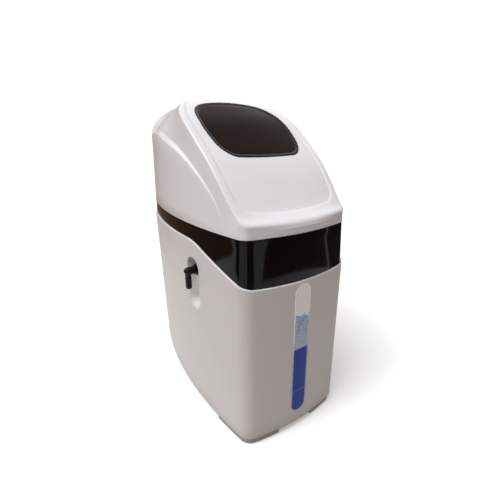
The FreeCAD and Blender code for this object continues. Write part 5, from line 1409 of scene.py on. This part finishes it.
@dataclass(frozen=True)
class Window:
    """Smoked window in the hood: a bevelled rim and the curved lens in it.

    Attributes:
        hood: The hood that carries the window.
        rim: Width of the rim.
        proud: How far the rim stands over the panel.
        sunk: How far the lens lies under the panel.
        under: How far the rim reaches under the panel.
        outer_reach: Width of the rounding of the rim's outer edge.
        outer_drop: Height of that rounding.
        outer_middle: Inset and drop of that rounding's middle.
        flat: Share of the rim's width where its flat top ends.
        bend: Share of the rim's width where its bevel starts.
        bend_drop: How far the bevel starts below the top.
        inner_reach: Width of the rounding of the rim's inner edge.
        inner_drop: Height of that rounding.
        fit: Play between hood and rim.
        lens_thickness: Thickness of the lens.
        lens_fit: Play between rim and lens.
        lens_round: How far the lens's edge is lowered.
        middle: Middle of the lens in the plan.
        crease: Angle in degrees above which an edge stays sharp.
        detail: How fine rim and lens are round the window.
        face_rings: Places of the rings of the lens's face on the way to its middle.
        back_rings: Places of the rings of its back.
    """

    hood: Hood
    rim: float = 0.0062
    proud: float = 0.0010
    sunk: float = 0.0012
    under: float = 0.0050
    outer_reach: float = 0.0009
    outer_drop: float = 0.0006
    outer_middle: Span = (0.0004, 0.0002)
    flat: float = 0.40
    bend: float = 0.48
    bend_drop: float = 0.0002
    inner_reach: float = 0.0005
    inner_drop: float = 0.0004
    fit: float = 0.0002
    lens_thickness: float = 0.0030
    lens_fit: float = 0.0001
    lens_round: float = 0.0003
    middle: Vector = Vector((0.0, -0.052))
    crease: float = 45.0
    detail: Detail = Detail(40, 40, 20)
    face_rings: tuple[float, ...] = (0.0, 0.004, 0.05, 0.12, 0.2, 0.3, 0.4, 0.5, 0.6, 0.7, 0.8, 0.9, 0.96)
    back_rings: tuple[float, ...] = (0.96, 0.5, 0.0)

    def outline(self, inset: float) -> list[Vector]:
        """Places round the window at an inset from its outline."""
        loop = self.hood.window.loop(inset)
        return [loop.place(station) for station in self.hood.plan.stations(self.detail)]

    def lifted(self, places: Sequence[Vector], lift: float) -> list[Vector]:
        """Points over places in the plan, lifted from the sunk panel."""
        return [self.hood.on_top(place, self.hood.panel_rise + lift) for place in places]

    def bezel(self) -> None:
        """Makes the bevelled rim."""
        rim, proud, sunk = self.rim, self.proud, self.sunk
        inset, drop = self.outer_middle
        section = [(self.fit, -self.under), (self.fit, proud - self.outer_drop), (inset, proud - drop),
                   (self.outer_reach, proud), (rim * self.flat, proud),
                   (rim * self.bend, proud - self.bend_drop),
                   (rim - self.inner_reach, self.inner_drop - sunk), (rim, -sunk), (rim, -self.under)]
        mesh = skin_of([self.lifted(self.outline(inset), lift) for inset, lift in section])
        piece = Piece("window_rim", mesh, Look.BEZEL.material(), self.crease)
        piece.mounted(Body.HOOD, "window_bezel")

    def lens(self) -> None:
        """Makes the curved lens."""
        outline = self.outline(self.rim + self.lens_fit)
        face, back = -self.sunk, -self.sunk - self.lens_thickness

        def ring(share: float, lift: float) -> list[Vector]:
            """Ring a share of the way to the middle."""
            return self.lifted([place.lerp(self.middle, share) for place in outline], lift)

        skin = RingSkin(ring(self.back_rings[0], back))
        for share in self.back_rings[1:]:
            skin.grow(ring(share, back))
        for share in self.face_rings:
            skin.grow(ring(share, face if share else face - self.lens_round))
        skin.pole(self.lifted([self.middle], face)[0])
        piece = Piece("window_pane", skin.capped(), Look.LENS.material(), self.crease)
        piece.mounted(Body.HOOD, "window_lens")


@dataclass(frozen=True)
class Swoop:
    """Line between cabinet and band: level at the back, sweeping down to the front.

    Attributes:
        back_level: Its level at the back.
        start: Where it would bend down if it weren't rounded.
        angle: How steeply it falls towards the front.
        radius: How round the bend is.
    """

    back_level: float = SEAM - 0.027
    start: float = -0.0777
    angle: float = math.radians(20.6)
    radius: float = 0.120

    def level(self, y: float) -> float:
        """Finds the line's level.

        Args:
            y: Place along the cabinet.

        Returns:
            The level over the floor.
        """
        tangent = self.radius * math.tan(self.angle / 2)
        if y >= self.start + tangent:
            return self.back_level
        if y <= self.start - tangent * math.cos(self.angle):
            return self.back_level - (self.start - y) * math.tan(self.angle)
        run = self.start + tangent - y
        return self.back_level - self.radius + math.sqrt(self.radius ** 2 - run ** 2)

    def tops(self, stations: Sequence[Station]) -> list[float]:
        """The line's level at each station."""
        return [self.level(station.at(0).y) for station in stations]


@dataclass(frozen=True)
class Scoop:
    """Spoon-shaped hollow in the left side, from which the overflow elbow stands out.

    Attributes:
        y: Where it lies along the side.
        bottom: Level of its lower end.
        top: Level of its upper end.
        half: Half its width.
        depth: How deep it is.
        steep: Width of its flank at the top.
        soft: Width of its flank at the bottom.
        soft_drop: How far below the top the flank starts to soften.
        soft_length: Over what height it softens.
        reach: How far to each side the mesh is finer.
    """

    y: float = -0.072
    bottom: float = 0.230
    top: float = 0.334
    half: float = 0.0215
    depth: float = 0.0138
    steep: float = 0.0055
    soft: float = 0.0150
    soft_drop: float = 0.030
    soft_length: float = 0.055
    reach: float = 0.0245

    def sink(self, place: Vector) -> float:
        """Finds how far the wall is sunk.

        Args:
            place: Point on the smooth wall.

        Returns:
            The depth, 0 outside the scoop.
        """
        axis = min(max(place.z, self.bottom + self.half), self.top - self.half)
        inside = self.half - math.hypot(place.y - self.y, place.z - axis)
        if place.x > 0 or inside <= 0:
            return 0.0
        softness = ease((self.top - self.soft_drop - place.z) / self.soft_length)
        return self.depth * ease(inside / mix(self.steep, self.soft, softness))


@dataclass(frozen=True)
class Cabinet:
    """White salt cabinet with a textured skin, a fine rounded rim whose lighter white is partly a painted
    highlight, and the scoop.

    Attributes:
        plan: Its outline.
        swoop: The line of its rim.
        scoop: The hollow in its left side.
        bottom: Level of its underside.
        floor: Level of its inner floor.
        wall: Thickness of its wall.
        bottom_round: Rounding round the underside.
        rim_round: Rounding of the rim.
        rim_cut: Bevel on the rim's inner edge.
        inner_trim: How far below the rim the inner wall ends.
        glossy: Share of the rim's rounding that takes the hood's smooth, lighter white: a smooth moulded
            rim, and a painted highlight along it.
        fine: Shares of the wall's height between which the rings are close, for the scoop.
        margin: Share of the side kept free of coarse stations round the fine ones.
        columns: Close stations at the scoop.
        low_rings: Rings on the wall below the close ones.
        fine_rings: Close rings on the wall.
        high_rings: Rings on the wall above them.
        rim_rings: Rings on the rim's rounding.
        crease: Angle in degrees above which an edge stays sharp.
        detail: How fine the skin is round the outline.
    """

    plan: Plan
    swoop: Swoop
    scoop: Scoop
    bottom: float = 0.014
    floor: float = 0.019
    wall: float = 0.0040
    bottom_round: float = 0.0025
    rim_round: float = 0.0010
    rim_cut: float = 0.0004
    inner_trim: float = 0.003
    glossy: float = 0.9
    fine: Span = (0.56, 0.94)
    margin: float = 0.01
    columns: int = 46
    low_rings: int = 8
    fine_rings: int = 79
    high_rings: int = 4
    rim_rings: int = 4
    crease: float = 50.0
    detail: Detail = Detail(32, 28, 12)

    def stations(self) -> list[Station]:
        """Spreads the stations, close together at the scoop.

        Returns:
            The stations round the cabinet.
        """
        length = 2 * self.plan.quarter[0].y
        middle, reach = 0.5 - self.scoop.y / length, self.scoop.reach / length
        dense = spread(self.columns, middle - reach, middle + reach)
        coarse = [share for share in spread(self.detail.side + 1)[:-1]
                  if abs(share - middle) >= reach + self.margin]
        return self.plan.stations(self.detail, sorted(coarse + dense))

    def build(self) -> None:
        """Makes the cabinet."""
        low, high = self.fine
        shares = [0.0, *steps(self.low_rings, 0.0, low), *steps(self.fine_rings, low, high),
                  *steps(self.high_rings, high, 1.0)]
        stations = self.stations()
        tops = self.swoop.tops(stations)
        bottom, small, rim = self.bottom, self.bottom_round, self.rim_round

        def flat(inset: float, level: float) -> list[Vector]:
            """Flat ring at an inset and a level."""
            return [station.at(inset, level) for station in stations]

        def wall(inset: float, share: float, trim: float) -> list[Vector]:
            """Works out a ring on the wall, sunk at the scoop.

            Args:
                inset: Inset from the outline.
                share: Place up the wall, 0 to 1.
                trim: How far below the rim the wall ends.

            Returns:
                The ring's points.
            """
            ring = []
            for station, top in zip(stations, tops):
                level = mix(bottom + small, top - trim, share)
                ring.append(station.at(inset + self.scoop.sink(station.at(0, level)), level))
            return ring

        def edge(inset: float, drop: float) -> list[Vector]:
            """Ring near the rim, a drop below the swooping line."""
            return [station.at(inset, top - drop) for station, top in zip(stations, tops)]

        rings = [flat(small, bottom), flat(small * ROUNDED, bottom + small * ROUNDED)]
        rings += [wall(0.0, share, rim) for share in shares]
        rings += [edge(rim * (1 - math.cos(turn)), rim * (1 - math.sin(turn)))
                  for turn in steps(self.rim_rings, 0.0, math.pi / 2)]
        rings += [edge(self.wall - self.rim_cut, 0.0), edge(self.wall, self.rim_cut)]
        rings += [wall(self.wall, share, self.inner_trim) for share in reversed(shares[::2])]
        skin = RingSkin(rings[0])
        for ring in rings[1:] + [flat(self.wall, self.floor)]:
            skin.grow(ring)
        skin.pole(Vector((0, 0, self.floor)))
        mesh = skin.capped()
        # Painted highlight: the top of the rim takes the hood's smoother, lighter white. This is partly a
        # smooth moulded rim and partly paints the bright line along it.
        for face in mesh.faces:
            middle = face.calc_center_median()
            face.material_index = int(middle.z > self.swoop.level(middle.y) - rim * self.glossy)
        piece = Piece("cabinet_skin", mesh, Look.CABINET.material(), self.crease)
        piece.object.data.materials.append(Look.HOOD.material())
        piece.mounted(Body.CABINET, "cabinet_body")


@dataclass(frozen=True)
class Band:
    """Glossy black trim band between cabinet and hood, with a skirt inside the cabinet.

    Attributes:
        plan: The cabinet's outline.
        swoop: The line of the band's lower edge.
        taper: How far the band stands back.
        opening: Opening for the pipes in its back.
        wall: Thickness of the band.
        skirt_inset: Inset of the skirt.
        skirt_wall: Thickness of the skirt.
        skirt_drop: How far the skirt reaches below the line.
        skirt_lap: How far its inside reaches above the line.
        inner_rise: Where the band's inside ends above the line.
        corner: Rounding of the band's edges.
        gap: Gap between band and hood.
        fit: Gap between cabinet and band.
        crease: Angle in degrees above which an edge stays sharp.
        face_rings: Rings on the band's face between its edges.
        detail: How fine the band is round the outline.
    """

    plan: Plan
    swoop: Swoop
    taper: Taper
    opening: PipeOpening
    wall: float = 0.0034
    skirt_inset: float = 0.0044
    skirt_wall: float = 0.0024
    skirt_drop: float = 0.0140
    skirt_lap: float = 0.006
    inner_rise: float = 0.008
    corner: float = 0.0005
    gap: float = 0.0010
    fit: float = 0.0001
    crease: float = 40.0
    face_rings: int = 4
    detail: Detail = Detail(48, 36, 14)

    def build(self) -> None:
        """Makes the band."""
        stations = self.plan.stations(self.detail)
        tops = [level + self.fit for level in self.swoop.tops(stations)]
        wall, small, drop = self.wall, self.corner, self.skirt_drop
        face = [(small, 0.0, 0.0), (0.0, 0.0, small)]
        face += [(0.0, share, 0.0) for share in spread(self.face_rings + 2)[1:-1]]
        face += [(0.0, 1.0, -small), (small * ROUNDED, 1.0, -small * ROUNDED), (small, 1.0, 0.0),
                 (wall - small, 1.0, 0.0), (wall, 1.0, -small), (wall, 0.0, self.inner_rise)]
        seam = SEAM - self.gap
        rings = [[station.at(self.taper.band(station, share) + inset, mix(top, seam, share) + lift)
                  for station, top in zip(stations, tops)] for inset, share, lift in face]
        outer, inner = self.skirt_inset, self.skirt_inset + self.skirt_wall
        skirt = [(inner, self.skirt_lap), (inner, -drop), (outer, -drop), (outer, 0.0)]
        rings += [[station.at(inset, top + lift) for station, top in zip(stations, tops)]
                  for inset, lift in skirt]
        piece = Piece("band_skin", skin_of(rings), Look.BAND.material(), self.crease)
        self.opening.carve(piece, self.opening.band)
        piece.mounted(Body.CABINET, "trim_band")


@dataclass(frozen=True)
class Artwork:
    """The label's generic print: white top, pale field with bubbles, deep blue field, all in a border.

    Attributes:
        border: Width of the border.
        border_soft: Softness of its inner edge.
        border_fade: Levels between which it turns from blue to white.
        water_top: Level of the water's ragged surface.
        water_soft: Softness of that surface.
        wave_scale: Waves per metre on it.
        wave_height: How high they are.
        blue_top: Level of the deep blue field's top.
        blue_soft: Softness of that edge.
        line: Level of the thin line across the deep blue field.
        line_half: Half its width.
        line_soft: Its softness.
        line_share: Its strength.
        dot_scale: Round bubbles per metre.
        dot_size: Their size and softness.
        speck_scale: Small specks per metre.
        speck_range: Noise range in which they appear.
        speck_share: Their strength.
        splash_scale: Patches of bubbles per metre.
        splash_range: Noise range in which they appear.
        lift_range: Levels between which the bubbles get denser.
        lift_low: Their share at the lower level.
        rough_scale: Features of the roughness per metre.
        rough: Its range.
        specular: Specular level.
        coat_rough: Roughness of the coat on the white top.
        grain_scale: Grain features per metre.
        grain: Height of the grain.
        white: Colour of the top and of the border there.
        pale: Colour of the pale field.
        bubble: Colour of the bubbles.
        blue: Colour of the deep blue field.
        line_blue: Colour of the thin line.
        low_border: Colour of the border lower down.
    """

    border: float = 0.0021
    border_soft: float = 0.0001
    border_fade: Span = (0.17, 0.20)
    water_top: float = 0.2460
    water_soft: float = 0.0015
    wave_scale: float = 120.0
    wave_height: float = 0.030
    blue_top: float = 0.1811
    blue_soft: float = 0.0003
    line: float = 0.0872
    line_half: float = 0.00055
    line_soft: float = 0.00015
    line_share: float = 0.6
    dot_scale: float = 330.0
    dot_size: Span = (0.36, 0.06)
    speck_scale: float = 420.0
    speck_range: Span = (0.54, 0.62)
    speck_share: float = 0.55
    splash_scale: float = 95.0
    splash_range: Span = (0.46, 0.56)
    lift_range: Span = (0.196, 0.236)
    lift_low: float = 0.25
    rough_scale: float = 300.0
    rough: Span = (0.26, 0.36)
    specular: float = 0.12
    coat_rough: float = 0.15
    grain_scale: float = 500.0
    grain: float = 0.00001
    white: Colour = (0.97, 0.95, 0.96)
    pale: Colour = (0.55, 0.66, 0.86)
    bubble: Colour = (0.10, 0.17, 0.38)
    blue: Colour = (0.022, 0.050, 0.370)
    line_blue: Colour = (0.30, 0.36, 0.62)
    low_border: Colour = (0.42, 0.44, 0.60)

    def inside(self, graph: Graph, ends: Span, half: float) -> Socket:
        """Tells the printed field from the border.

        Args:
            graph: The label's material.
            ends: Levels of the centres of the label's round ends.
            half: Half the label's width.

        Returns:
            1 inside the border, 0 on it.
        """
        x, _, z = graph.axes()
        middle = graph.maths(Op.MINIMUM, graph.maths(Op.MAXIMUM, z, ends[0]), ends[1])
        away = graph.maths(Op.SUBTRACT, z, middle)
        squares = graph.maths(Op.ADD, graph.maths(Op.MULTIPLY, x, x), graph.maths(Op.MULTIPLY, away, away))
        reach = graph.maths(Op.SQRT, squares)
        return graph.below(reach, half - self.border - self.border_soft, self.border_soft)

    def bubbles(self, graph: Graph, z: Socket) -> Socket:
        """Paints the pale field with small bubbles.

        Args:
            graph: The label's material.
            z: Level over the floor.

        Returns:
            The field's colour.
        """
        dots = graph.below(graph.cells(self.dot_scale), *self.dot_size)
        specks = graph.range(graph.noise(self.speck_scale, detail=2.0), self.speck_range,
                             (0.0, self.speck_share))
        splash = graph.range(graph.noise(self.splash_scale, detail=5.0), self.splash_range, (0.0, 1.0))
        lift = graph.range(z, self.lift_range, (self.lift_low, 1.0))
        either = graph.maths(Op.MAXIMUM, graph.maths(Op.MULTIPLY, dots, splash), specks)
        return graph.blend(graph.maths(Op.MULTIPLY, either, lift, clamp=True), self.pale, self.bubble)

    def material(self, ends: Span, half: float) -> bpy.types.Material:
        """Prints the fields.

        Args:
            ends: Levels of the centres of the label's round ends.
            half: Half the label's width.

        Returns:
            The label's material.
        """
        graph = Graph("label_print_finish")
        z = graph.axes()[2]
        wave = graph.maths(Op.SUBTRACT, graph.noise(self.wave_scale, detail=4.0), 0.5)
        ragged = graph.maths(Op.ADD, z, graph.maths(Op.MULTIPLY, wave, self.wave_height))
        water = graph.below(ragged, self.water_top, self.water_soft)
        field = graph.blend(water, self.white, self.bubbles(graph, z))
        field = graph.blend(graph.below(z, self.blue_top, self.blue_soft), field, self.blue)
        away = graph.maths(Op.ABSOLUTE, graph.maths(Op.SUBTRACT, z, self.line))
        line = graph.below(away, self.line_half, self.line_soft)
        field = graph.blend(graph.maths(Op.MULTIPLY, line, self.line_share), field, self.line_blue)
        border = graph.blend(graph.range(z, self.border_fade, (0.0, 1.0)), self.low_border, self.white)
        graph.set({"Base Color": graph.blend(self.inside(graph, ends, half), border, field),
                   "Roughness": graph.range(graph.noise(self.rough_scale), NOISE, self.rough),
                   "Specular IOR Level": self.specular,
                   "Coat Weight": graph.maths(Op.SUBTRACT, 1.0, water),
                   "Coat Roughness": self.coat_rough})
        graph.bump(graph.noise(self.grain_scale), self.grain)
        return graph.material


@dataclass(frozen=True)
class Label:
    """Tall capsule label on the front.

    Attributes:
        plan: The cabinet's outline.
        half: Half its width.
        bottom: Level of its lower end.
        height: Its height.
        thickness: Thickness of the film.
        across: Steps across the label.
        along: Steps up the label.
        cap_rows: Steps of those in each round end.
        crease: Angle in degrees above which an edge stays sharp.
        art: What is printed on it.
    """

    plan: Plan
    half: float = 0.017
    bottom: float = 0.039
    height: float = 0.268
    thickness: float = 0.0005
    across: int = 16
    along: int = 96
    cap_rows: int = 24
    crease: float = 30.0
    art: Artwork = Artwork()

    def outline(self, share: float) -> Span:
        """Works out the capsule's outline.

        Args:
            share: Place up the grid, 0 to 1.

        Returns:
            The level and half the width there.
        """
        cap, near = self.cap_rows / self.along, min(share, 1 - share)
        rise, half = mix(self.half, self.height / 2, (near - cap) / (0.5 - cap)), self.half
        if near < cap:
            turn = math.pi / 2 * (near / cap)
            rise, half = self.half * (1 - math.cos(turn)), self.half * math.sin(turn)
        return self.bottom + (rise if share < 0.5 else self.height - rise), half

    def build(self) -> None:
        """Makes the label."""
        mesh = bmesh.new()
        bmesh.ops.create_grid(mesh, x_segments=self.across, y_segments=self.along, size=0.5)
        for vert in mesh.verts:
            level, half = self.outline(vert.co.y + 0.5)
            x = vert.co.x * 2 * half
            vert.co = Vector((x, -self.plan.end_y(x) - self.thickness, level))
        bmesh.ops.remove_doubles(mesh, verts=mesh.verts, dist=MERGE)
        bmesh.ops.recalc_face_normals(mesh, faces=mesh.faces)
        if sum(face.normal.y for face in mesh.faces) > 0:
            bmesh.ops.reverse_faces(mesh, faces=mesh.faces)
        ends = (self.bottom + self.half, self.bottom + self.height - self.half)
        piece = Piece("label_film", mesh, self.art.material(ends, self.half), self.crease)
        film = piece.object.modifiers.new("film", "SOLIDIFY")
        film.thickness = self.thickness
        film.offset = -1.0
        piece.mounted(Body.CABINET, "front_label")


@dataclass(frozen=True)
class Lamp:
    """One lamp of the studio.

    Attributes:
        name: Name of the lamp.
        toward: Direction towards the lamp.
        strength: Its strength.
        angle: How large it looks, in degrees.
        colour: Its colour.
    """

    name: str
    toward: Colour
    strength: float
    angle: float
    colour: Colour = (1.0, 1.0, 1.0)

    def hang(self) -> None:
        """Hangs the lamp."""
        data = bpy.data.lights.new(self.name, "SUN")
        data.energy = self.strength
        data.color = self.colour
        data.angle = math.radians(self.angle)
        lamp = bpy.data.objects.new(self.name, data)
        lamp.rotation_mode = "QUATERNION"
        lamp.rotation_quaternion = Vector(self.toward).to_track_quat("Z", "Y")
        bpy.context.scene.collection.objects.link(lamp)


@dataclass(frozen=True)
class Card:
    """A dark card that shiny pieces reflect and nothing else shows.

    Attributes:
        turn: Where it stands round the object, in degrees.
        width: Its width.
        colour: Its colour.
        away: Its distance from the object's middle.
        level: Level of its middle.
        height: Its height.
    """

    turn: float
    width: float
    colour: Colour
    away: float = 0.95
    level: float = 0.60
    height: float = 1.18

    def stand(self) -> None:
        """Stands the card up, facing the object."""
        angle = math.radians(self.turn)
        place = (Matrix.Translation((self.away * math.cos(angle), self.away * math.sin(angle), self.level))
                 @ Matrix.Rotation(angle, 4, "Z") @ Matrix.Rotation(math.pi / 2, 4, "Y")
                 @ Matrix.Diagonal((self.height, self.width, 1.0, 1.0)))
        mesh = bmesh.new()
        bmesh.ops.create_grid(mesh, x_segments=1, y_segments=1, size=0.5, matrix=place)
        card = placed("card", mesh)
        graph = Graph("card_dark")
        graph.set({"Base Color": (0.0, 0.0, 0.0), "Roughness": 1.0, "Specular IOR Level": 0.0,
                   "Emission Color": self.colour, "Emission Strength": 1.0,
                   "Alpha": graph.node("LightPath").outputs["Is Glossy Ray"]})
        card.data.materials.append(graph.material)


@dataclass(frozen=True)
class Studio:
    """Pale floor, soft light and the camera of the photograph.

    Attributes:
        place: Where the camera stands.
        yaw: How far it looks to the right.
        pitch: How far it looks down.
        roll: How far it is tilted.
        lens: Its focal length in millimetres.
        sensor: Its sensor's width in millimetres.
        lamps: The lamps.
        cards: The dark cards.
        sky: Colour of the plain light.
        sky_strength: Its strength.
        floor_half: Half the floor's width.
        floor_colour: The floor's colour as light sees it.
        floor_seen: The floor's colour as the camera sees it.
        floor_glow: How much the seen floor glows.
        nearest: The nearest that the camera sees.
    """

    place: Vector = Vector((-0.3197, -0.5626, 0.5292))
    yaw: float = math.radians(32.38)
    pitch: float = math.radians(19.56)
    roll: float = math.radians(-0.66)
    lens: float = 22.23
    sensor: float = 36.0
    lamps: tuple[Lamp, ...] = (Lamp("key", (-0.44, 0.02, 0.90), 1.98, 40.0, (1.0, 1.0, 1.02)),
                               Lamp("edge", (-0.55, 0.05, 0.83), 0.45, 9.0))
    cards: tuple[Card, ...] = (
        Card(118, 1.5, (0.22, 0.125, 0.075)), Card(176, 0.45, (0.060, 0.045, 0.050)),
        Card(254, 0.62, (0.110, 0.080, 0.110)), Card(300, 0.76, (0.150, 0.110, 0.095)),
        Card(343, 0.70, (0.120, 0.090, 0.105)))
    sky: Colour = (1.0, 0.965, 0.955)
    sky_strength: float = 0.36
    floor_half: float = 30.0
    floor_colour: Colour = (0.28, 0.235, 0.205)
    floor_seen: Colour = (0.93, 0.93, 0.93)
    floor_glow: float = 0.26
    nearest: float = 0.01

    def camera(self) -> None:
        """Sets the camera as it stood."""
        data = bpy.data.cameras.new("camera")
        data.lens = self.lens
        data.sensor_width = self.sensor
        data.clip_start = self.nearest
        level = math.cos(self.pitch)
        ahead = Vector((math.sin(self.yaw) * level, math.cos(self.yaw) * level, -math.sin(self.pitch)))
        right = Vector((math.cos(self.yaw), -math.sin(self.yaw), 0))
        up = right.cross(ahead)
        turned = right * math.cos(self.roll) + up * math.sin(self.roll)
        above = up * math.cos(self.roll) - right * math.sin(self.roll)
        camera = bpy.data.objects.new("camera", data)
        frame = Matrix((turned, above, -ahead)).transposed().to_4x4()
        camera.matrix_world = Matrix.Translation(self.place) @ frame
        bpy.context.scene.collection.objects.link(camera)
        bpy.context.scene.camera = camera

    def floor(self) -> None:
        """Lays the pale floor."""
        mesh = bmesh.new()
        bmesh.ops.create_grid(mesh, x_segments=1, y_segments=1, size=self.floor_half)
        floor = placed("floor", mesh)
        graph = Graph("floor_pale")
        seen = graph.seen()
        graph.set({"Base Color": graph.blend(seen, self.floor_colour, self.floor_seen),
                   "Emission Color": (1.0, 1.0, 1.0),
                   "Emission Strength": graph.maths(Op.MULTIPLY, seen, self.floor_glow),
                   "Roughness": 0.9, "Specular IOR Level": 0.1})
        floor.data.materials.append(graph.material)

    def plain_light(self) -> None:
        """Sets the plain light, which looks white to camera, gloss and glass."""
        world = bpy.data.worlds.new("sky")
        world.use_nodes = True
        tree = Tree(world.node_tree)
        blend = tree.node("MixShader")
        tree.feed(blend.inputs[0], tree.seen())
        for socket, colour, strength in ((blend.inputs[1], self.sky, self.sky_strength),
                                         (blend.inputs[2], (1.0, 1.0, 1.0), 1.0)):
            light = tree.node("Background")
            tree.feed(light.inputs[0], colour)
            tree.feed(light.inputs[1], strength)
            tree.feed(socket, light.outputs[0])
        tree.feed(tree.node("OutputWorld").inputs[0], blend.outputs[0])
        bpy.context.scene.world = world

    def build(self) -> None:
        """Sets up the whole studio."""
        bpy.context.scene.view_settings.view_transform = "Standard"
        self.camera()
        self.floor()
        for card in self.cards:
            card.stand()
        self.plain_light()
        for lamp in self.lamps:
            lamp.hang()


def main() -> None:
    """Builds the scene."""
    logging.basicConfig(level=logging.INFO, format="%(name)s: %(message)s")
    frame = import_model()
    Studio().build()
    plan, swoop, taper, opening = Plan(), Swoop(), Taper(), PipeOpening()
    hood = Hood(plan, taper, opening)
    hood.build()
    window = Window(hood)
    window.bezel()
    window.lens()
    Cabinet(plan, swoop, Scoop()).build()
    Band(plan, swoop, taper, opening).build()
    Label(plan).build()
    for works in WORKS:
        works.dress(frame["nodes"])


if __name__ == "__main__":
    main()
